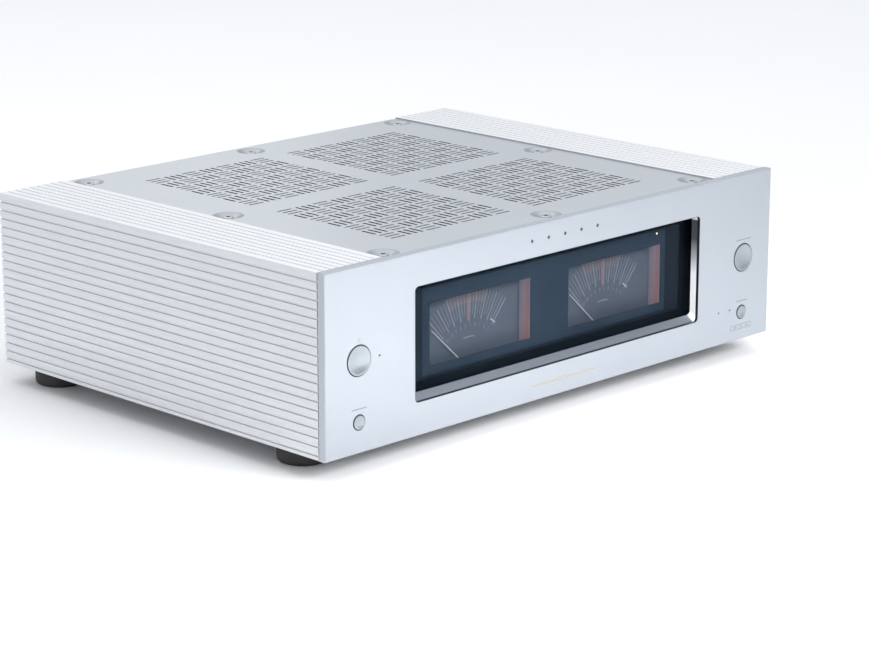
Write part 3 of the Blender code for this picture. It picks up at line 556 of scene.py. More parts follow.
# the pointer's ink is given a faint painted glow
NEEDLE_INK = printed("needle_pink", (0.95, 0.80, 0.84), 0.25)
LEGEND_INK = printed("legend_grey", (0.30, 0.32, 0.36))
DARK_INK = printed("legend_dark", (0.06, 0.06, 0.07))
GOLD_INK = printed("legend_gold", (0.50, 0.36, 0.17))
LAMP = glowing("lamp_warm", (1.0, 0.55, 0.25), 6.0)
LED_OFF = moulded("led_smoked", (0.15, 0.16, 0.19), 0.25, 0.05)
BLACK = moulded("black_moulding", (0.018, 0.018, 0.02), 0.42)
RUBBER = moulded("foot_rubber", (0.030, 0.025, 0.026), 0.62, 0.3)
STEEL = brushed("plain_steel", (0.56, 0.57, 0.59), 0.38, "X", 0.2)
SCREW_STEEL = satin("screw_steel", (0.52, 0.53, 0.55), 0.33, 4000, strength=0.05)
DARK_SCREW = satin("dark_screw", (0.10, 0.10, 0.11), 0.3, 4000, strength=0.05)
NICKEL = satin("nickel", (0.50, 0.49, 0.475), 0.25, 3000, strength=0.06)
GOLD = satin("gold_plate", (0.90, 0.66, 0.30), 0.18, 3000, strength=0.04)
BOARD = moulded("board_green", (0.02, 0.11, 0.05), 0.45, 0.15)
SLEEVE = moulded("capacitor_sleeve", (0.02, 0.022, 0.04), 0.3, 0.05)
CAP_RED = moulded("cap_red", (0.50, 0.02, 0.02), 0.22, 0.04, Coat_Weight=0.4)
CAP_BLACK = moulded("cap_black", (0.02, 0.02, 0.022), 0.22, 0.04, Coat_Weight=0.4)
WHITE_RING = moulded("ring_white", (0.72, 0.72, 0.70), 0.35, 0.04)
RED_RING = moulded("ring_red", (0.55, 0.02, 0.02), 0.35, 0.04)
# the pale, warm and white scale inks are given a faint painted glow
PALE_INK = printed("scale_pale", (0.52, 0.47, 0.51), 0.06)
WARM_INK = printed("scale_warm", (0.56, 0.33, 0.33), 0.06)
BLUSH_INK = printed("scale_blush", (0.345, 0.275, 0.295))
HOOK_INK = printed("scale_white", (0.85, 0.80, 0.85), 0.3)
MASK_LIP = moulded("mask_lip", (0.046, 0.062, 0.082), 0.5, 0.0, Specular_IOR_Level=0.2)
MASK_SLATE = moulded("mask_slate", (0.047, 0.066, 0.092), 0.6, 0.0, Specular_IOR_Level=0.2)
# darker copy of the slate for the tray's walls: painted shade
MASK_SHADE = moulded("mask_painted_shade", (0.020, 0.026, 0.035), 0.6, 0.0, Specular_IOR_Level=0.2)
HEAT_BLACK = brushed("heat_sink_black", (0.030, 0.030, 0.033), 0.45, "Z", 0.2, 0.6)
WINDING = brushed("copper_winding", (0.60, 0.26, 0.10), 0.35, "Z", 0.6, 0.9)
REAR_PAINT = satin("rear_paint", (0.50, 0.52, 0.55), 0.5, 3200, strength=0.35)


# ---------------------------------------------------------------- front panel and window


def button_circle(name):
    """Centre x, centre z and cap radius of a button, from its node's box."""
    low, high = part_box(name)
    middle = (low + high) / 2
    return middle.x, middle.z, (high.z - low.z) / 2 - BUTTON_FLANGE


def led_places():
    low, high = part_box("standby_light_pipe")
    yield (low.x + high.x) / 2, (low.z + high.z) / 2
    low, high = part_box("status_light_pipe")
    z = (low.z + high.z) / 2
    yield low.x + 2 * MM, z
    yield high.x - 2 * MM, z


def window_outline(grow=0.0, radius=WINDOW_RADIUS):
    edge = 0.3 * MM + grow  # the CAD bezel stands this far inside the opening
    return round_rectangle(
        BEZEL_LOW.x - edge, BEZEL_HIGH.x + edge, BEZEL_LOW.z - edge, BEZEL_HIGH.z + edge, radius
    )


def front_panel():
    holes = [window_outline()]
    for name in BUTTONS:
        x, z, radius = button_circle(name)
        holes.append(circle(x, z, radius + HOLE_GAP, 72))
    for x, z in led_places():
        holes.append(circle(x, z, LED_HOLE, 20))
    outline = [(-HALF, BASE), (HALF, BASE), (HALF, TOP), (-HALF, TOP)]
    shape = plate(blank(), "Y", FRONT, PANEL_REAR, outline, holes)
    bmesh.ops.recalc_face_normals(shape, faces=shape.faces)
    rim, holes_rim = [], []
    for edge in shape.edges:
        a, b = (vert.co for vert in edge.verts)
        if max(a.y, b.y) > FRONT + 1e-6 or len(edge.link_faces) != 2:
            continue
        if edge.calc_face_angle(0) < math.radians(60):
            continue
        on_rim = any(
            abs(a[axis] - side) < 1e-6 and abs(b[axis] - side) < 1e-6
            for axis, side in ((0, -HALF), (0, HALF), (2, BASE), (2, TOP))
        )
        (rim if on_rim else holes_rim).append(edge)
    bmesh.ops.bevel(shape, geom=rim, offset=PANEL_ROUND, segments=3, profile=0.6, affect="EDGES")
    holes_rim = [edge for edge in holes_rim if edge.is_valid]
    bmesh.ops.bevel(shape, geom=holes_rim, offset=0.22 * MM, segments=2, profile=0.5, affect="EDGES")
    piece("front_panel_face", shape, PANEL_SILVER, replaces="front_panel", slot="satin_silver_panel", angle=30)


def window_frame():
    """A black liner in the panel's edge as painted shadow, then a polished frame with a brushed, rising sill."""
    liner_end = FRONT + LINER_DEPTH
    outer = window_outline(-0.05 * MM)
    inner = window_outline(-0.05 * MM - LINER_WALL, WINDOW_RADIUS - LINER_WALL)
    shape = blank()
    tube(shape, "Y", [(FRONT + 0.15 * MM, outer), (liner_end, outer), (liner_end, inner), (FRONT + 0.15 * MM, inner)])
    piece("window_liner", shape, SHADOW_LINER, slot="polished_steel")

    side = BEZEL_HIGH.x - 0.1 * MM
    bottom, top = BEZEL_LOW.z, BEZEL_HIGH.z - 0.1 * MM
    radius = 2.6 * MM
    near = round_rectangle(-side, side, bottom + 0.1 * MM, top, radius, 6)
    deep = round_rectangle(-side + 0.2 * MM, side - 0.2 * MM, bottom + SILL_RISE, top - 0.2 * MM, radius, 6)
    shell = round_rectangle(BEZEL_LOW.x, BEZEL_HIGH.x, BEZEL_LOW.z, BEZEL_HIGH.z, radius, 6)
    shape = blank()
    end = BEZEL_HIGH.y
    faces = tube(shape, "Y", [(liner_end + 0.05 * MM, shell), (liner_end + 0.05 * MM, near), (end, deep), (end, shell)])
    for face in faces:
        flat_low = all(vert.co.z < bottom + SILL_RISE + 0.1 * MM for vert in face.verts)
        wide = max(vert.co.x for vert in face.verts) - min(vert.co.x for vert in face.verts)
        face.material_index = 1 if flat_low and wide > 0.1 else 0
    piece("window_frame", shape, [CHROME, SILL_STEEL], replaces="window_bezel", slot="polished_steel")


def window_glass():
    shape = prism(
        blank(), "Y", GLASS_LOW.y, GLASS_HIGH.y,
        round_rectangle(GLASS_LOW.x, GLASS_HIGH.x, GLASS_LOW.z, GLASS_HIGH.z, 2 * MM, 3),
    )
    pane_piece = piece("meter_glass", shape, GLASS, replaces="window_glass", slot="smoked_glass")
    soften(pane_piece, 0.2 * MM, 1)
    outer = [(GLASS_LOW.x, GLASS_LOW.z), (GLASS_HIGH.x, GLASS_LOW.z), (GLASS_HIGH.x, GLASS_HIGH.z), (GLASS_LOW.x, GLASS_HIGH.z)]
    clear = round_rectangle(
        BEZEL_LOW.x + BORDER_SIDE, BEZEL_HIGH.x - BORDER_SIDE,
        BEZEL_LOW.z + BORDER_BOTTOM, BEZEL_HIGH.z - BORDER_TOP, 0.6 * MM, 3,
    )
    rear = GLASS_HIGH.y + 0.05 * MM
    shape = plate(blank(), "Y", rear, rear + 0.1 * MM, outer, [clear])
    piece("glass_border", shape, BORDER, slot="smoked_glass")


def window_lamp():
    """The small lit dot high on the right of the mask, in its own collar."""
    x, z = LAMP_PLACE
    collar = mm(((1, 0), (1, -0.4), (0.75, -0.6), (0.7, 0)), MASK_FACE)
    lathe("window_lamp_collar", x, z, collar, 24, BLACK, closed=True)
    dome = mm(((0, -0.8), (0.4, -0.72), (0.65, -0.4), (0.65, -0.05), (0, -0.05)), MASK_FACE)
    lathe("window_lamp", x, z, dome, 24, LAMP)


def inlay(shape, outline):
    """A thin print on the front panel, let a little way into its face."""
    return prism(shape, "Y", FRONT - PRINT, FRONT + PRINT_ROOT, outline)


def pill(shape, x, z, width, height):
    return inlay(shape, slot_outline(x, z, width / 2, height / 2, 4))


def legends():
    """The standby mark, and plain pills, bars, diamonds and a wave where a maker prints words."""
    x, z, _ = button_circle("standby_button")
    z += 13.2 * MM
    near, root = FRONT - PRINT, FRONT + PRINT_ROOT
    ring = arc(x, z, 1.15 * MM, 125, 415, 24) + arc(x, z, 0.88 * MM, 415, 125, 24)
    shape = inlay(blank(), ring)
    block(shape, (x - 0.13 * MM, near, z + 0.15 * MM), (x + 0.13 * MM, root, z + 1.45 * MM))
    piece("standby_mark", shape, LEGEND_INK)

    rules = blank()
    for name, width, rise in BUTTON_RULES:
        x, z, _ = button_circle(name)
        pill(rules, x, z + rise * MM, width * MM, 0.9 * MM)
    piece("button_rules", rules, LEGEND_INK)

    x, z, _ = button_circle("display_button")
    z -= 10.6 * MM
    outline, hollow = (slot_outline(x, z, u * MM, v * MM, 8) for u, v in ((12, 1.9), (11.4, 1.3)))
    badge = plate(blank(), "Y", near, root, outline, [hollow])
    for step in (-1, 0, 1):
        pill(badge, x + 6.5 * step * MM, z, 4.2 * MM, 0.8 * MM)
    piece("panel_badge", badge, LEGEND_INK)

    diamonds = blank()
    for step in range(5):
        inlay(diamonds, circle((-32 + 16 * step) * MM, TOP - 11 * MM, 1.5 * MM, 4))
    piece("panel_diamonds", diamonds, DARK_INK)
    piece("gold_wave", inlay(blank(), wave_outline(TOP - 110 * MM)), GOLD_INK)


def wave_outline(z):
    """A slim ribbon of slanted waves that fade towards both ends."""
    steps, half, width, waves = 168, 31 * MM, 0.6 * MM, 14
    middle = []
    for step in range(steps + 1):
        share = step / steps
        fade = math.sin(math.pi * share) ** 0.5
        turn = math.tau * waves * share
        swell = (0.6 + 0.4 * math.sin(5 * math.pi * share)) * fade * 1.5 * MM
        rise = swell * math.sin(turn)
        middle.append((-half + 2 * half * share + 0.35 * rise, z + rise))
    return middle + [(u, v + width) for u, v in reversed(middle)]


def light_pipes():
    names = ("standby_lens", "status_lens_inner", "status_lens_outer")
    nodes = ("standby_light_pipe", "status_light_pipe", None)
    profile = mm(((0, -0.1), (0.4, 0), (0.6, 0.25), (0.6, 6), (0, 6)), FRONT + 0.25 * MM)
    for (x, z), name, node in zip(led_places(), names, nodes):
        lathe(name, x, z, profile, 20, LED_OFF, replaces=node, slot="light_pipe")


def buttons():
    """Dished caps with a polished rim, in holes lined with black sleeves as painted shadow."""
    rim = 0.35 * MM
    for name in BUTTONS:
        x, z, radius = button_circle(name)
        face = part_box(name)[0].y
        dish = DISH_SHARE * radius
        profile = [(0, face + dish)]
        for step in range(1, 9):
            share = step / 8
            profile.append(((radius - 0.75 * MM) * share, face + dish * (1 - share**2)))
        for step in range(1, 5):
            a = math.radians(90 - 90 * step / 4)
            profile.append((radius - rim + rim * math.cos(a), face + rim - rim * math.sin(a)))
        flange, near, rear = radius + BUTTON_FLANGE, PANEL_REAR + 0.3 * MM, PANEL_REAR + 1.8 * MM
        profile += [(radius, near), (flange, near), (flange, rear), (0, rear)]
        lathe(f"{name}_cap", x, z, profile, 80, BUTTON_SILVER,
              body=name, replaces=name, slot="button_silver", angle=40)
        # a black sleeve fills the gap round each cap: painted shadow
        wall, inner = radius + HOLE_GAP - 0.02 * MM, radius + 0.12 * MM
        end = PANEL_REAR - 0.1 * MM
        sleeve = [(wall, FRONT + 0.3 * MM), (wall, end), (inner, end), (inner, FRONT + 0.5 * MM)]
        lathe(f"{name}_sleeve", x, z, sleeve, 72, SHADOW_LINER, closed=True)


# ---------------------------------------------------------------- meters


def strip(shape, pivot, angle, near, far, width, y):
    """A thin radial mark on the dial; angle is clockwise from straight up, in degrees."""
    a = math.radians(angle)
    out = Vector((math.sin(a), math.cos(a)))
    side = Vector((out.y, -out.x)) * width / 2
    origin = Vector(pivot)
    ends = ((near, -1), (near, 1), (far, 1), (far, -1))
    corners = [tuple(origin + out * reach + side * sign) for reach, sign in ends]
    prism(shape, "Y", y - 0.06 * MM, y - 0.01 * MM, corners)


def numeral(shape, text, pivot, angle, radius, size, y):
    """A figure laid flat on the dial and turned with the scale."""
    curve = bpy.data.curves.new("numeral", "FONT")
    curve.body = text
    curve.size = size
    curve.extrude = 0.02 * MM
    curve.align_x, curve.align_y = "CENTER", "CENTER"
    curve.resolution_u = 3
    obj = bpy.data.objects.new("numeral", curve)
    bpy.context.scene.collection.objects.link(obj)
    bpy.context.view_layer.update()
    mesh = bpy.data.meshes.new_from_object(obj.evaluated_get(bpy.context.evaluated_depsgraph_get()))
    a = math.radians(angle)
    centre = Vector((pivot[0] + radius * math.sin(a), y - 0.03 * MM, pivot[1] + radius * math.cos(a)))
    mesh.transform(Matrix.Translation(centre) @ Matrix.Rotation(a, 4, "Y") @ Matrix.Rotation(math.pi / 2, 4, "X"))
    shape.from_mesh(mesh)
    bpy.data.objects.remove(obj, do_unlink=True)
    bpy.data.meshes.remove(mesh)


def meter_print(side, pivot, dial_face):
    """Scale lines, numbers and coloured zones, each ink as one piece just in front of the dial."""
    pale, warm, hook, blush = blank(), blank(), blank(), blank()
    steps = 24
    for step in range(steps + 1):
        angle = -SWEEP + 4 + step * (2 * SWEEP - 12) / steps
        major = step % 3 == 0
        inner = TICK_IN if major else TICK_IN + 3.2 * MM
        width = (0.75 if major else 0.36) * MM
        strip(warm if step == steps // 2 else pale, pivot, angle, inner, TICK_OUT + 5 * MM, width, dial_face)
    strip(warm, pivot, 0, TICK_IN - 1.5 * MM, TICK_OUT + 7 * MM, 1.7 * MM, dial_face)
    for index, text in enumerate(SCALE_MARKS):
        angle = -SWEEP + 7 + index * (2 * SWEEP - 18) / (len(SCALE_MARKS) - 1)
        numeral(pale, text, pivot, angle, NUMERAL_RADIUS, 3.3 * MM, dial_face)
    for angle in (36, 39.5):
        strip(pale, pivot, angle, TICK_IN + 4 * MM, TICK_OUT + 3 * MM, 0.3 * MM, dial_face)
    fans = (  # ink, inner and outer radius, first and last angle from +X, steps, thickness
        (hook, TICK_IN + 2.2 * MM, TICK_IN + 2.9 * MM, 48, 57, 8, 0.07 * MM),
        (pale, 22.4 * MM, 23.2 * MM, 76, 104, 10, 0.06 * MM),
        (blush, 46 * MM, 49.9 * MM, 72, 114, 16, 0.04 * MM),
        (blush, 50 * MM, 57.9 * MM, 72, 114, 16, 0.04 * MM),
    )
    for shape, inner, outer, first, last, count, thick in fans:
        outline = arc(*pivot, inner, first, last, count) + arc(*pivot, outer, last, first, count)
        prism(shape, "Y", dial_face - thick, dial_face - 0.01 * MM, outline)
    inks = (("pale", pale, PALE_INK), ("warm", warm, WARM_INK), ("hook", hook, HOOK_INK), ("blush", blush, BLUSH_INK))
    for name, shape, ink in inks:
        piece(f"{side}_scale_{name}", shape, ink, slot="meter_dial_print")


def dial_paint(name):
    look = Look(name, (0.185, 0.206, 0.240), 0.6)
    cloud = look.noise(18, (1, 1, 1), 3.0)
    clouded = look.tint(cloud, (0.225, 0.225, 0.28))
    look.tint(look.noise(2600), (0.20, 0.22, 0.26), (0.4, 0.9), clouded)
    look.bump(look.noise(2600), 0.1, 0.00005)
    return look.material


def needle(side, pivot):
    """A slim tapered pointer with a domed hub, a tail weight and its shaft."""
    node = f"{side}_meter_needle"
    low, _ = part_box(node)
    rest = math.radians(-SWEEP)
    y = low.y + 1.0 * MM
    out = Vector((math.sin(rest), 0, math.cos(rest)))
    across = Vector((out.z, 0, -out.x))
    centre = Vector((pivot[0], y, pivot[1]))
    shape = blank()
    rings = []
    for distance, half in ((-7.5, 0.9), (-4.6, 0.9), (-4.2, 0.45), (0, 0.42), (30, 0.34), (49.6, 0.26), (50, 0.1)):
        at = centre + out * distance * MM
        ring = []
        for k in range(8):
            a = math.tau * k / 8
            ring.append(shape.verts.new(at + across * half * MM * math.cos(a) + Vector((0, 0.28 * half * MM * math.sin(a) / 0.5, 0))))
        rings.append(ring)
    for one, two in zip(rings, rings[1:]):
        for k in range(8):
            shape.faces.new((one[k], one[(k + 1) % 8], two[(k + 1) % 8], two[k]))
    shape.faces.new(rings[0])
    shape.faces.new(rings[-1][::-1])
    piece(f"{side}_pointer", shape, NEEDLE_INK, body=f"{side}_needle", replaces=node, slot="needle_paint")
    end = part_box(node)[1].y
    hub = [(0, y - 0.9 * MM), (1.6 * MM, y - 0.75 * MM), (2.7 * MM, y - 0.3 * MM), (3 * MM, y + 0.1 * MM),
           (3 * MM, y + 0.6 * MM), (1 * MM, y + 0.6 * MM), (1 * MM, end), (0, end)]
    piece(f"{side}_pointer_hub", turned(blank(), "Y", (pivot[0], 0, pivot[1]), hub, 32), BLACK, body=f"{side}_needle")


def glow_guide(side):
    """The fluted light bar that lines the right wall of a meter housing."""
    low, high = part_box(f"{side}_meter_housing")
    x = high.x - 1.5 * MM
    near, rear = MASK_FACE + MASK_SHEET + 0.02 * MM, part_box(f"{side}_meter_dial")[0].y - 0.02 * MM
    flutes, steps = 5, 6
    pitch = (rear - near) / flutes
    outline = [(x - 0.1 * MM, near), (x - 0.1 * MM, rear)]
    for flute in reversed(range(flutes)):
        start = near + flute * pitch
        for step in range(steps):
            share = 1 - step / steps
            outline.append((x - 0.75 * MM - 0.28 * MM * math.sin(math.pi * share), start + pitch * share))
    outline.append((x - 0.75 * MM, near))
    z0, z1 = low.z + 2 * MM, high.z - 2 * MM
    paint = light_guide(f"{side}_glow", METER_OPENING[0], METER_OPENING[1], near, rear)
    piece(f"{side}_light_guide", prism(blank(), "Z", z0, z1, outline), paint, slot="light_pipe")


def meter_opening(centre, grow, corner):
    """Outline of a meter's opening in the mask, about the meter's middle."""
    z0, z1 = METER_OPENING
    x0, x1 = centre + OPENING_LEFT, centre + OPENING_RIGHT
    return round_rectangle(x0 - grow, x1 + grow, z0 - grow, z1 + grow, corner, 3)


def mask_trim(side, centre):
    """A fine raised lip round a meter opening in the mask."""
    outer = meter_opening(centre, 0.8 * MM, 0.9 * MM)
    inner = meter_opening(centre, -0.05 * MM, 0.4 * MM)
    shape = blank()
    tube(shape, "Y", [(MASK_FACE - 0.02 * MM, outer), (MASK_FACE - 0.18 * MM, inner),
                      (MASK_FACE + MASK_SHEET, inner), (MASK_FACE, outer)])
    piece(f"{side}_opening_lip", shape, MASK_LIP, slot="slate_mask")


def mask():
    """The tray behind the glass: sloping walls in a darker copy of the slate as painted shade, down to a slate floor
    with two openings.
    """
    z0, z1 = MASK_BOTTOM, MASK_TOP
    meters_x = [centre_of(f"{side}_meter_movement")[0] for side in ("left", "right")]
    holes = [meter_opening(centre, 0, 0.4 * MM) for centre in meters_x]
    floor = [(-MASK_HALF, z0), (MASK_HALF, z0), (MASK_HALF, z1), (-MASK_HALF, z1)]
    face = plate(blank(), "Y", MASK_FACE, MASK_FACE + MASK_SHEET, floor, holes)
    piece("mask_face", face, MASK_SLATE, replaces="meter_mask", slot="slate_mask")
    near, deep = GLASS_HIGH.y + 0.4 * MM, MASK_FACE - 0.05 * MM
    w0, w1 = BEZEL_LOW.z + BORDER_BOTTOM - 0.5 * MM, BEZEL_HIGH.z - BORDER_TOP + 0.5 * MM
    side = BEZEL_HIGH.x - BORDER_SIDE + 0.5 * MM
    wall = 0.8 * MM
    rings = [
        (y, [(-half, low), (half, low), (half, high), (-half, high)])
        for y, half, low, high in (
            (near, side, w0, w1),
            (deep, MASK_HALF, z0, z1),
            (deep, MASK_HALF + wall, z0 - wall, z1 + wall),
            (near, side + wall, w0 - wall, w1 + wall),
        )
    ]
    shape = blank()
    tube(shape, "Y", rings)
    piece("mask_walls", shape, MASK_SHADE, slot="slate_mask")


def meters():
    paint = dial_paint("dial_slate")
    mask()
    for side in ("left", "right"):
        low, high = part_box(f"{side}_meter_movement")
        pivot = ((low.x + high.x) / 2, (low.z + high.z) / 2)
        dial = frame["nodes"][f"{side}_meter_dial"]
        assign(dial, paint)
        meter_print(side, pivot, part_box(f"{side}_meter_dial")[0].y)
        needle(side, pivot)
        glow_guide(side)
        mask_trim(side, pivot[0])


def assign(node, *materials):
    """Gives a kept CAD node new materials in its own slots."""
    node.data.materials.clear()
    for material in materials:
        node.data.materials.append(material)


# ---------------------------------------------------------------- casing


def rib_run(count, pitch):
    """Distances from the corner and depths into the face, along rounded ribs and square grooves."""
    points = []
    for index in range(1, count + 1):
        near, far = index * pitch - GROOVE / 2, index * pitch + GROOVE / 2
        r = RIB_ROUND
        points += [(near - r, 0), (near - 0.3 * r, 0.12 * r), (near, r), (near, GROOVE_DEPTH)]
        points += [(far, GROOVE_DEPTH), (far, r), (far + 0.3 * r, 0.12 * r), (far + r, 0)]
    return points


def side_panels():
    ledge_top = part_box("front_cross_rail")[1].z
    for side, sign in (("left", -1), ("right", 1)):
        down_side = rib_run(SIDE_GROOVES, SIDE_PITCH)
        outline = [(HALF - 0.4 * MM, BASE), (HALF, BASE + 0.4 * MM)]
        outline += [(HALF - depth, TOP - down) for down, depth in reversed(down_side)]
        outline += arc(HALF - 0.6 * MM, TOP - 0.6 * MM, 0.6 * MM, 0, 90, 4)
        outline += [(HALF - across, TOP - depth) for across, depth in rib_run(TOP_GROOVES, TOP_PITCH)]
        end = HALF - FLANGE_WIDTH
        inner = HALF - SIDE_THICK
        outline += [(end, TOP), (end, ledge_top), (0.142, ledge_top)]
        outline += [(0.142, ledge_top - 2 * MM), (inner, ledge_top - 2 * MM), (inner, BASE)]
        low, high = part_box(f"{side}_side_panel")
        shape = prism(blank(), "Y", low.y, high.y, [(sign * u, v) for u, v in outline])
        for face in shape.faces:
            middle = face.calc_center_median()
            # faces on top take the lighter copy: painted highlight
            if middle.z > TOP - 1.2 * MM and abs(middle.x) < HALF - 1.5 * MM:
                face.material_index = 1
            # the flange's inner end face takes the darker copy: painted shade in place of its bright edge
            elif abs(abs(middle.x) - end) < 0.1 * MM:
                face.material_index = 2
        piece(f"{side}_ribbed_panel", shape, [RIB_SILVER, RIB_TOP_LIT, STEP_SHADED_SILVER], replaces=f"{side}_side_panel", slot="ribbed_silver", angle=25)


def vent_outlines():
    """Three round-ended slots to a cell, along X or Y in turn, in four fields."""
    centre_x = VENT_MIDDLE[0]
    centre_y = (COVER_LOW.y + COVER_HIGH.y) / 2 + VENT_MIDDLE[1]
    slots = []
    for i in range(CELLS):
        for j in range(CELLS):
            for sx in (-1, 1):
                for sy in (-1, 1):
                    x = centre_x + sx * (CELL_FIRST_X + i * CELL_PITCH)
                    y = centre_y + sy * (CELL_FIRST_Y + j * CELL_PITCH)
                    for k in (-1, 0, 1):
                        if (i + j) % 2:
                            slots.append(slot_outline(x + k * SLOT_PITCH, y, SLOT_WIDTH / 2, SLOT_LENGTH / 2, 3))
                        else:
                            slots.append(slot_outline(x, y + k * SLOT_PITCH, SLOT_LENGTH / 2, SLOT_WIDTH / 2, 3))
    return slots


def screw_places():
    for number in range(1, 9):
        low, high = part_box(f"cover_screw_{number}")
        yield f"cover_screw_{number}", (low.x + high.x) / 2, (low.y + high.y) / 2, low, high


def dish_profile(radius, depth, top):
    """From the flush rim, over a soft shoulder and down a cone to a flat floor."""
    floor, soft = 4.7 * MM, 0.22
    points = []
    for step in range(15):
        share = step / 14
        if share < soft:
            drop = share**2 / (2 * soft)
        elif share > 1 - soft:
            drop = 1 - soft - (1 - share) ** 2 / (2 * soft)
        else:
            drop = share - soft / 2
        points.append((radius + (floor - radius) * share, top - depth * drop / (1 - soft)))
    return points


def top_cover():
    """One sheet with every vent slot and eight pressed dishes, each with its screw hole."""
    x0, x1 = COVER_LOW.x, COVER_HIGH.x
    y0, y1 = COVER_LOW.y, COVER_HIGH.y
    top = COVER_HIGH.z
    thick = 1.5 * MM
    rims = [circle(x, y, DISH_RADIUS, DISH_SIDES) for _, x, y, _, _ in screw_places()]
    outline = [(x0, y0), (x1, y0), (x1, y1), (x0, y1)]
    shape = plate(blank(), "Z", top, top - thick, outline, vent_outlines() + rims)
    walls = []
    for _, x, y, _, _ in screw_places():
        for face in shape.faces:
            if abs(face.normal.z) < 0.5 and (face.calc_center_median().xy - Vector((x, y))).length < DISH_RADIUS:
                walls.append(face)
    bmesh.ops.delete(shape, geom=walls, context="FACES")
    # slot walls facing ±X take the near-black material: painted shade; walls facing ±Y stay cover silver
    inner = (x0 + 2 * MM, x1 - 2 * MM)
    for face in shape.faces:
        face.normal_update()
        x = face.calc_center_median().x
        if abs(face.normal.x) > 0.7 and inner[0] < x < inner[1]:
            face.material_index = 1
    flat = set(shape.faces)
    for _, x, y, _, _ in screw_places():
        upper = dish_profile(DISH_RADIUS, DISH_DEPTH, top)
        lower = dish_profile(DISH_RADIUS, DISH_DEPTH, top - thick)
        profile = upper + [(2.1 * MM, top - DISH_DEPTH), (2.1 * MM, top - DISH_DEPTH - thick)] + lower[::-1]
        turned(shape, "Z", (x, y, 0), profile, DISH_SIDES)
    # the dishes' faces take the darker copy: painted shade
    for face in shape.faces:
        if face not in flat:
            face.material_index = 2
    bmesh.ops.remove_doubles(shape, verts=shape.verts, dist=2e-6)
    lip = block(blank(), (x0, y1 - 1.2 * MM, COVER_LOW.z + 0.1 * MM), (x1, y1, top - thick))
    piece("cover_rear_lip", lip, COVER_SILVER, slot="satin_silver_cover")
    piece("vented_cover", shape, [COVER_SILVER, SLOT_WALL_SHADE, DISH_SHADED_SILVER], replaces="top_cover", slot="satin_silver_cover", angle=30)


def cover_screws():
    """Domed socket screws with a bright rounded head."""
    for name, x, y, low, high in screw_places():
        top, base = high.z, high.z - 2 * MM
        radius = 3.9 * MM
        head = [(radius - 1.1 * MM + 1.1 * MM * math.cos(a), top - 1.1 * MM + 1.1 * MM * math.sin(a))
                for a in (math.radians(90 - 15 * k) for k in range(7))]
        profile = [(0, top)] + head + [(radius, base), (1.5 * MM, base), (1.5 * MM, low.z), (0, low.z)]
        screw = piece(f"{name}_head", turned(blank(), "Z", (x, y, 0), profile, 40), SCREW_STEEL, replaces=name, slot="screw_steel")
        cut(screw, prism(blank(), "Z", top - 1.4 * MM, top + 1 * MM, circle(x, y, 1.6 * MM, 6)))


def feet():
    """Round feet with a rim step, a soft lower edge and a recessed screw under each."""
    for name in ("front_left_foot", "front_right_foot", "rear_left_foot", "rear_right_foot"):
        low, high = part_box(name)
        x, y = (low.x + high.x) / 2, (low.y + high.y) / 2
        radius = (high.x - low.x) / 2
        corner = 3.0 * MM
        bend = [(radius - 0.7 * MM - corner + corner * math.cos(a), corner + corner * math.sin(a))
                for a in (math.radians(-90 + 15 * k) for k in range(7))]
        profile = [(5 * MM, 2.5 * MM), (5 * MM, 0.3 * MM), (5.3 * MM, 0)] + bend
        profile += [(radius - 0.55 * MM, high.z - 5.2 * MM), (radius - 0.95 * MM, high.z - 5.0 * MM),
                    (radius - 0.95 * MM, high.z - 4.5 * MM), (radius - 0.15 * MM, high.z - 4.3 * MM),
                    (radius, high.z - 4.0 * MM), (radius, high.z - 0.4 * MM), (radius - 0.4 * MM, high.z), (0, high.z),]
        profile = [(0, 2.5 * MM)] + profile
        piece(f"{name}_rubber", turned(blank(), "Z", (x, y, 0), profile, 64), RUBBER, replaces=name, slot="foot_rubber")
        head = [(0, 1.2 * MM), (2.8 * MM, 1.2 * MM), (3.4 * MM, 1.6 * MM), (3.4 * MM, 2.6 * MM), (0, 2.6 * MM)]
        screw = piece(f"{name}_screw", turned(blank(), "Z", (x, y, 0), head, 24), SCREW_STEEL)
        cut(screw, block(blank(), (x - 2 * MM, y - 0.3 * MM, 0), (x + 2 * MM, y + 0.3 * MM, 2.1 * MM)))


def kept_nodes():
    """CAD nodes whose shape stays, each with its finish."""
    nodes = frame["nodes"]
    finishes = {
        BLACK: ("left_meter_housing", "right_meter_housing"),
        BOARD: ("left_button_board", "right_button_board", "left_amplifier_board", "right_amplifier_board", "power_supply_board"),
        STEEL: ("front_cross_rail", "bottom_pan", "left_meter_movement", "right_meter_movement", "input_selector_housing"),
        SLEEVE: ("left_filter_capacitor", "right_filter_capacitor"),
    }
    for finish, names in finishes.items():
        for name in names:
            assign(nodes[name], finish)
    assign(nodes["left_heat_sink"], HEAT_BLACK)
    assign(nodes["right_heat_sink"], HEAT_BLACK)
    assign(nodes["toroidal_transformer"], WINDING)
    assign(nodes["rear_panel"], REAR_PAINT)


# ---------------------------------------------------------------- rear connectors


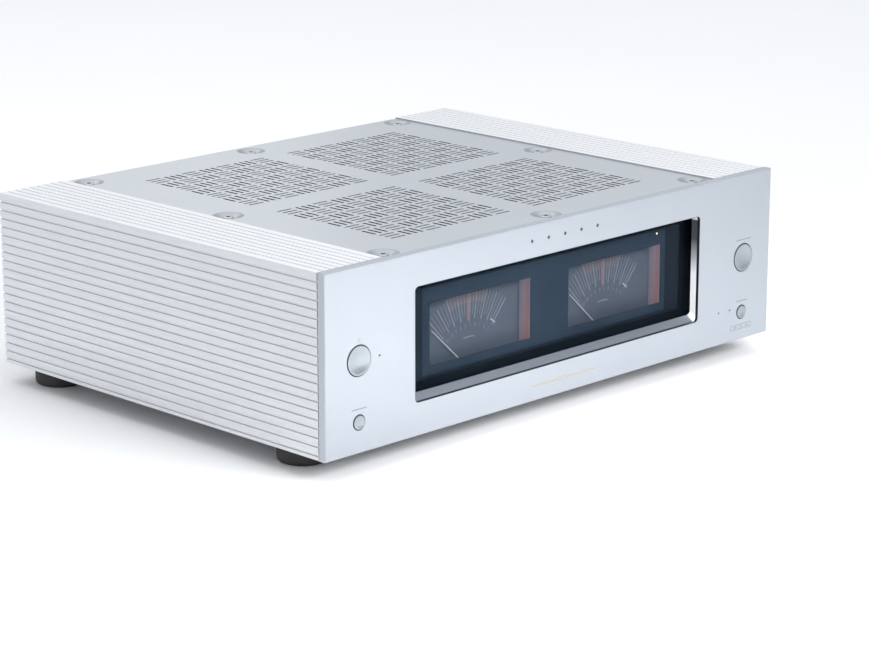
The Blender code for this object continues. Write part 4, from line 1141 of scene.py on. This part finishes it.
def screw(name, place, radius, height, metal=None):
    """A domed screw head with a cross recess, standing on a face that looks along +Y."""
    x, y, z = place
    head = [(0, y + height)]
    for step in range(1, 6):
        a = math.radians(90 - 18 * step)
        head.append((radius * math.cos(a), y + height * (0.25 + 0.75 * math.sin(a))))
    head += [(radius, y), (0, y)]
    made = piece(name, turned(blank(), "Y", (x, 0, z), head, 24), metal or SCREW_STEEL, slot="screw_steel")
    recess = blank()
    arm, half = 0.62 * radius, 0.13 * radius
    block(recess, (x - arm, y + 0.35 * height, z - half), (x + arm, y + 2 * height, z + half))
    cut(made, recess)
    recess = blank()
    block(recess, (x - half, y + 0.35 * height, z - arm), (x + half, y + 2 * height, z + arm))
    cut(made, recess)


def centre_of(node):
    low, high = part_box(node)
    return (low.x + high.x) / 2, (low.z + high.z) / 2


def xlr_inputs():
    """Panel sockets: flange, barrel, insert with three gold contacts, a release tab and screws."""
    face = REAR + 0.3 * MM
    for side in ("left", "right"):
        node = f"{side}_xlr_input"
        x, z = centre_of(node)
        corners = ((x - 9.5 * MM, z + 12 * MM), (x + 9.5 * MM, z - 12 * MM))
        holes = [circle(x, z, 9.7 * MM, 48)] + [circle(u, v, 1.7 * MM, 20) for u, v in corners]
        outline = round_rectangle(x - 13 * MM, x + 13 * MM, z - 15.5 * MM, z + 15.5 * MM, 3 * MM, 5)
        flange = piece(f"{side}_xlr_flange", plate(blank(), "Y", face, face + 2.2 * MM, outline, holes),
                       NICKEL, replaces=node, slot="rear_steel")
        soften(flange, 0.35 * MM)
        shell = [(9.7 * MM, face + 2.5 * MM), (10.4 * MM, face + 2.5 * MM), (10.7 * MM, face + 2.2 * MM),
                 (10.7 * MM, face + 0.5 * MM), (11.4 * MM, face), (11.4 * MM, REAR - 20 * MM), (9.7 * MM, REAR - 20 * MM)]
        piece(f"{side}_xlr_shell", turned(blank(), "Y", (x, 0, z), shell, 48, closed=True), NICKEL, slot="rear_steel")
        bores = [circle(x + 4.2 * MM * math.cos(math.radians(a)), z + 4.2 * MM * math.sin(math.radians(a)), 1.5 * MM, 20)
                 for a in (30, 150, 270)]
        body = plate(blank(), "Y", REAR - 18 * MM, face + 1.4 * MM, circle(x, z, 7.9 * MM, 48), bores)
        soften(piece(f"{side}_xlr_insert", body, BLACK, slot="black_plastic"), 0.3 * MM)
        floor = [(0, REAR - 12 * MM), (9.6 * MM, REAR - 12 * MM), (9.6 * MM, REAR - 14 * MM), (0, REAR - 14 * MM)]
        piece(f"{side}_xlr_floor", turned(blank(), "Y", (x, 0, z), floor, 32), BLACK, slot="black_plastic")
        contacts = blank()
        for a in (30, 150, 270):
            u, v = x + 4.2 * MM * math.cos(math.radians(a)), z + 4.2 * MM * math.sin(math.radians(a))
            ring = [(1.42 * MM, face), (1.42 * MM, REAR - 10 * MM), (1.1 * MM, REAR - 10 * MM), (1.1 * MM, face + 0.2 * MM)]
            turned(contacts, "Y", (u, 0, v), ring, 20, closed=True)
        piece(f"{side}_xlr_contacts", contacts, GOLD)
        tab = prism(blank(), "X", x - 3 * MM, x + 3 * MM, [
            (face + 2.25 * MM, z + 11 * MM), (face + 3.6 * MM, z + 11.6 * MM), (face + 3.2 * MM, z + 13.4 * MM),
            (face + 2.25 * MM, z + 14.4 * MM)])
        soften(piece(f"{side}_xlr_release", tab, BLACK, slot="black_plastic"), 0.3 * MM)
        for index, (u, v) in enumerate(corners):
            screw(f"{side}_xlr_screw_{index + 1}", (u, face + 0.6 * MM, v), 2.9 * MM, 2.0 * MM)


def rca_inputs():
    """Two phono jacks: coloured collar, gold barrel with a lip, white insulator and centre contact."""
    low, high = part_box("rca_input_block")
    x = (low.x + high.x) / 2
    body = block(blank(), (low.x, low.y, low.z), (high.x, REAR - 1.8 * MM, high.z))
    soften(piece("rca_body", body, BLACK, replaces="rca_input_block", slot="black_plastic"), 0.8 * MM)
    for z, name, colour in ((high.z - 11 * MM, "left", WHITE_RING), (low.z + 11 * MM, "right", RED_RING)):
        collar = [(4.3 * MM, REAR - 2 * MM), (5.5 * MM, REAR - 2 * MM), (5.5 * MM, REAR + 0.4 * MM), (6.9 * MM, REAR + 0.4 * MM),
                  (6.9 * MM, REAR + 1.9 * MM), (6.3 * MM, REAR + 2.5 * MM), (4.3 * MM, REAR + 2.5 * MM)]
        piece(f"rca_{name}_collar", turned(blank(), "Y", (x, 0, z), collar, 40, closed=True), colour, slot="black_plastic")
        barrel = [(3.5 * MM, REAR - 3 * MM), (4.2 * MM, REAR - 3 * MM), (4.2 * MM, REAR + 3.4 * MM), (3.95 * MM, REAR + 3.6 * MM),
                  (3.95 * MM, REAR + 4.1 * MM), (4.2 * MM, REAR + 4.3 * MM), (4.2 * MM, REAR + 9.1 * MM), (3.8 * MM, REAR + 9.5 * MM),
                  (3.5 * MM, REAR + 9.4 * MM)]
        piece(f"rca_{name}_barrel", turned(blank(), "Y", (x, 0, z), barrel, 40, closed=True), GOLD)
        sleeve = [(1.6 * MM, REAR - 3 * MM), (3.45 * MM, REAR - 3 * MM), (3.45 * MM, REAR + 8.2 * MM), (3.1 * MM, REAR + 8.6 * MM),
                  (1.9 * MM, REAR + 8.6 * MM), (1.6 * MM, REAR + 8.2 * MM)]
        piece(f"rca_{name}_insulator", turned(blank(), "Y", (x, 0, z), sleeve, 32, closed=True), WHITE_RING)
        contact = [(1.2 * MM, REAR - 3 * MM), (1.55 * MM, REAR - 3 * MM), (1.55 * MM, REAR + 7.6 * MM), (1.2 * MM, REAR + 7.6 * MM)]
        piece(f"rca_{name}_contact", turned(blank(), "Y", (x, 0, z), contact, 20, closed=True), GOLD)


def selector():
    """The slide switch's ridged nub."""
    low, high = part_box("input_selector_slider")
    outline = [(low.x, low.y), (high.x, low.y), (high.x, high.y - 0.4 * MM)]
    teeth = 5
    pitch = (high.x - low.x - 0.8 * MM) / teeth
    for tooth in range(teeth):
        start = high.x - 0.4 * MM - tooth * pitch
        outline += [(start, high.y), (start - 0.6 * pitch, high.y), (start - 0.8 * pitch, high.y - 0.5 * MM)]
    outline += [(low.x, high.y - 0.4 * MM)]
    shape = prism(blank(), "Z", low.z, high.z, outline)
    piece("selector_nub", shape, BLACK, body="input_selector_slider", replaces="input_selector_slider", slot="black_plastic")
    x, z = centre_of("input_selector_housing")
    hole = round_rectangle(x - 8.6 * MM, x + 8.6 * MM, z - 3.6 * MM, z + 3.6 * MM, 0.4 * MM, 2)
    outline = round_rectangle(x - 15 * MM, x + 15 * MM, z - 6 * MM, z + 6 * MM, 1.2 * MM, 4)
    shape = plate(blank(), "Y", REAR + 0.05 * MM, REAR + 0.7 * MM, outline, [hole])
    soften(piece("selector_plate", shape, STEEL, slot="rear_steel"), 0.2 * MM)


def inlet_outline(x, z, grow=0.0):
    half, corner = (12 * MM + grow, 8 * MM + grow), 4 * MM
    right = [(half[0], -half[1]), (half[0], corner), (corner * 2 + grow, half[1])]
    return [(x + u, z + v) for u, v in right + [(-u, v) for u, v in reversed(right)]]


def power_inlet():
    """A three-pin inlet: rounded flange, deep shell, floor, tapered blades and two screws."""
    x, z = centre_of("power_inlet")
    face = REAR + 0.3 * MM
    outline = round_rectangle(x - 19 * MM, x + 19 * MM, z - 12.5 * MM, z + 12.5 * MM, 3.5 * MM, 6)
    flange = plate(blank(), "Y", face, face + 2.5 * MM, outline, [inlet_outline(x, z)])
    soften(piece("inlet_flange", flange, BLACK, replaces="power_inlet", slot="black_plastic"), 0.5 * MM)
    shape = blank()
    inner, outer = inlet_outline(x, z), inlet_outline(x, z, 1.4 * MM)
    tube(shape, "Y", [(face + 1 * MM, outer), (face + 1 * MM, inner), (REAR - 15.5 * MM, inner), (REAR - 15.5 * MM, outer)])
    prism(shape, "Y", REAR - 20 * MM, REAR - 15.6 * MM, outer)
    piece("inlet_shell", shape, BLACK, slot="black_plastic")
    for index, (u, v) in enumerate(((-7, -1), (7, -1), (0, 3.5))):
        low = (x + u * MM - 1 * MM, REAR - 17 * MM, z + v * MM - 2 * MM)
        blade = block(blank(), low, (x + u * MM + 1 * MM, REAR - 3 * MM, z + v * MM + 2 * MM))
        soften(piece(f"inlet_blade_{index + 1}", blade, NICKEL, slot="nickel"), 0.45 * MM)
    for index, u in enumerate((-16, 16)):
        screw(f"inlet_screw_{index + 1}", (x + u * MM, face + 2.3 * MM, z), 2.2 * MM, 1.2 * MM)


def main_switch():
    """A rocker in a rounded frame, with its on and off marks."""
    low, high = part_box("main_switch_housing")
    x, z = centre_of("main_switch_housing")
    face = REAR + 0.3 * MM
    hole = round_rectangle(x - 9.2 * MM, x + 9.2 * MM, z - 5.2 * MM, z + 5.2 * MM, 0.5 * MM, 2)
    outline = round_rectangle(low.x, high.x, low.z, high.z, 1.5 * MM, 5)
    frame_plate = plate(blank(), "Y", face, face + 1.5 * MM, outline, [hole])
    soften(piece("switch_frame", frame_plate, BLACK, replaces="main_switch_housing", slot="black_plastic"), 0.4 * MM)
    shell = round_rectangle(x - 10.4 * MM, x + 10.4 * MM, z - 6.4 * MM, z + 6.4 * MM, 0.5 * MM, 2)
    shape = blank()
    tube(shape, "Y", [(face, shell), (face, hole), (REAR - 12 * MM, hole), (REAR - 12 * MM, shell)])
    prism(shape, "Y", low.y, REAR - 12.1 * MM, shell)
    piece("switch_shell", shape, BLACK, slot="black_plastic")

    pivot = Vector((x, REAR - 3.5 * MM))
    turn = Matrix.Rotation(math.radians(8), 2)
    section = []
    for step in range(13):
        u = (8.2 - 16.4 * step / 12) * MM
        section.append((u, 3.2 * MM + 1.3 * MM * (u / (8.2 * MM)) ** 2))
    section += [(-6 * MM, -2.2 * MM), (0, -4.5 * MM), (6 * MM, -2.2 * MM)]
    rocker = prism(blank(), "Z", z - 4.8 * MM, z + 4.8 * MM, [pivot + turn @ Vector(point) for point in section])
    made = piece("switch_rocker", rocker, BLACK, body="main_switch_rocker", replaces="main_switch_rocker", slot="black_plastic")
    soften(made, 0.3 * MM)
    marks = blank()
    for u, stroke in ((4.8 * MM, True), (-4.8 * MM, False)):
        y = (3.2 + 1.3 * (4.8 / 8.2) ** 2) * MM
        if stroke:
            block(marks, (u - 0.25 * MM, y - 0.1 * MM, -1.5 * MM), (u + 0.25 * MM, y + 0.12 * MM, 1.5 * MM))
        else:
            turned(marks, "Y", (u, 0, 0), [(1.1 * MM, y - 0.1 * MM), (1.5 * MM, y - 0.1 * MM), (1.5 * MM, y + 0.12 * MM), (1.1 * MM, y + 0.12 * MM)], 28, closed=True)
    where = Matrix.Translation((pivot.x, pivot.y, z)) @ Matrix.Rotation(math.radians(8), 4, "Z")
    bmesh.ops.transform(marks, matrix=where, verts=marks.verts)
    piece("switch_marks", marks, WHITE_RING, body="main_switch_rocker")


def star(cu, cv, radius, depth, teeth):
    points = []
    for step in range(2 * teeth):
        r = radius - (depth if step % 2 else 0)
        a = math.tau * step / (2 * teeth)
        points.append((cu + r * math.cos(a), cv + r * math.sin(a)))
    return points


def speaker_terminals():
    """Binding posts: a moulded block, coloured washers, threaded gold posts and knurled caps."""
    for side in ("left", "right"):
        low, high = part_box(f"{side}_speaker_terminals")
        x, z = centre_of(f"{side}_speaker_terminals")
        face = REAR + 0.3 * MM
        outline = round_rectangle(low.x, high.x, low.z, high.z, 4 * MM, 6)
        base = prism(blank(), "Y", face, face + 3 * MM, outline)
        soften(piece(f"{side}_terminal_block", base, BLACK, replaces=f"{side}_speaker_terminals", slot="black_plastic"), 0.7 * MM)
        for pole, sign, colour in (("positive", 1, CAP_RED), ("negative", -1, CAP_BLACK)):
            body = f"{side}_{pole}_cap"
            cap_low, cap_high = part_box(body)
            cx = (cap_low.x + cap_high.x) / 2
            collar = [(3.0 * MM, face + 2.9 * MM), (7.6 * MM, face + 2.9 * MM), (7.6 * MM, face + 3.6 * MM), (7.1 * MM, face + 4.1 * MM), (3.0 * MM, face + 4.1 * MM)]
            piece(f"{side}_{pole}_washer", turned(blank(), "Y", (cx, 0, z), collar, 40, closed=True), colour, slot="cap_red" if sign > 0 else "cap_black")
            thread = [(2.0 * MM, REAR + 2 * MM), (2.0 * MM, REAR + 20.5 * MM), (2.75 * MM, REAR + 20.5 * MM)]
            turns = 19
            for step in range(turns):
                y = REAR + 20.2 * MM - step * 0.8 * MM
                thread += [(2.75 * MM, y), (2.98 * MM, y - 0.2 * MM), (2.75 * MM, y - 0.4 * MM)]
            thread += [(2.75 * MM, REAR + 2 * MM)]
            piece(f"{side}_{pole}_post", turned(blank(), "Y", (cx, 0, z), thread, 32, closed=True), GOLD)
            radius, teeth = 6.8 * MM, 30
            bore = circle(cx, z, 3.35 * MM, 2 * teeth)
            mouth = circle(cx, z, 4.3 * MM, 2 * teeth)
            start, end = cap_low.y, cap_high.y
            shape = blank()
            tube(shape, "Y", [
                (start, bore), (start, circle(cx, z, radius - 0.7 * MM, 2 * teeth)),
                (start + 0.6 * MM, circle(cx, z, radius, 2 * teeth)), (start + 1.8 * MM, circle(cx, z, radius, 2 * teeth)),
                (start + 2.2 * MM, star(cx, z, radius - 0.35 * MM, 0.55 * MM, teeth)),
                (end - 1.6 * MM, star(cx, z, radius - 0.35 * MM, 0.55 * MM, teeth)),
                (end - 1.1 * MM, circle(cx, z, radius - 0.5 * MM, 2 * teeth)),
                (end, circle(cx, z, radius - 1.4 * MM, 2 * teeth)), (end, mouth), (end - 1.2 * MM, bore),
            ])
            piece(f"{body}_knurled", shape, colour, body=body, replaces=body, slot="cap_red" if sign > 0 else "cap_black", angle=30)


def rear_screws():
    """Panel screws along the rear's edges, clear of the connectors."""
    low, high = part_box("rear_panel")
    places = [(s * 196 * MM, v) for s in (-1, 1) for v in (low.z + 9 * MM, high.z - 16 * MM)]
    places += [(s * 96 * MM, v) for s in (-1, 1) for v in (low.z + 7 * MM, high.z - 12 * MM)]
    for index, (x, z) in enumerate(places):
        screw(f"rear_screw_{index + 1}", (x, REAR, z), 2.7 * MM, 1.5 * MM, DARK_SCREW)


# ---------------------------------------------------------------- stage


def stage():
    """A plain white floor, with soft overhead and side light."""
    shape = blank()
    bmesh.ops.create_grid(shape, x_segments=1, y_segments=1, size=30)
    mesh = bpy.data.meshes.new("floor")
    shape.to_mesh(mesh)
    shape.free()
    floor = bpy.data.objects.new("floor", mesh)
    bpy.context.scene.collection.objects.link(floor)
    white = Look("floor_white", (0.90, 0.90, 0.90), 0.9)
    white.tint(white.noise(3.0), (0.885, 0.885, 0.89))
    floor.data.materials.append(white.material)

    world = bpy.data.worlds.new("studio")
    bpy.context.scene.world = world
    world.use_nodes = True
    background = world.node_tree.nodes["Background"]
    background.inputs["Color"].default_value = (0.93, 0.96, 1.0, 1)
    background.inputs["Strength"].default_value = 0.78

    softbox("overhead", (0.2, 0.3, 3.0), (0, 0, 0.05), 4.0, 4.0, 40)
    softbox("back_card", (-0.25, 1.5, 1.55), (0, 0, 0.1), 1.1, 0.9, 3)
    softbox("sky_card", (0.58, 0.92, 0.53), (-0.2, -0.1, 0.13), 0.35, 0.25, 0.15)
    softbox("front_fill", (0.3, -1.9, 1.0), (0.0, -0.3, 0.0), 1.8, 0.8, 8, glossy=False)
    softbox("front_pool", (-0.05, -0.8, 0.45), (-0.02, -0.42, 0.0), 0.4, 0.3, 1.5, 80, False)


def softbox(name, place, target, width, height, power, spread=180, glossy=True):
    light = bpy.data.lights.new(name, "AREA")
    light.shape = "RECTANGLE"
    light.size, light.size_y = width, height
    light.energy = power
    light.spread = math.radians(spread)
    obj = bpy.data.objects.new(name, light)
    obj.location = place
    aim = Vector(target) - Vector(place)
    obj.rotation_euler = aim.to_track_quat("-Z", "Y").to_euler()
    obj.visible_camera = False
    obj.visible_glossy = glossy
    bpy.context.scene.collection.objects.link(obj)


def camera():
    """The view from the front left, a little above, with a long lens."""
    data = bpy.data.cameras.new("camera")
    data.lens = CAMERA_LENS
    data.sensor_width = 36
    data.clip_end = 100
    obj = bpy.data.objects.new("camera", data)
    back = CAMERA_BACK.normalized()
    up = (CAMERA_UP - back * CAMERA_UP.dot(back)).normalized()
    turn = Matrix((up.cross(back), up, back)).transposed().to_4x4()
    place = (CAMERA_X, FRONT - CAMERA_AHEAD, BASE + CAMERA_RISE)
    obj.matrix_world = Matrix.Translation(place) @ turn
    bpy.context.scene.collection.objects.link(obj)
    bpy.context.scene.camera = obj


camera()
front_panel()
window_frame()
window_glass()
window_lamp()
legends()
light_pipes()
buttons()
meters()
side_panels()
top_cover()
cover_screws()
feet()
xlr_inputs()
rca_inputs()
selector()
power_inlet()
main_switch()
speaker_terminals()
rear_screws()
kept_nodes()
weigh_normals()
stage()
bpy.context.scene.view_settings.view_transform = "Standard"
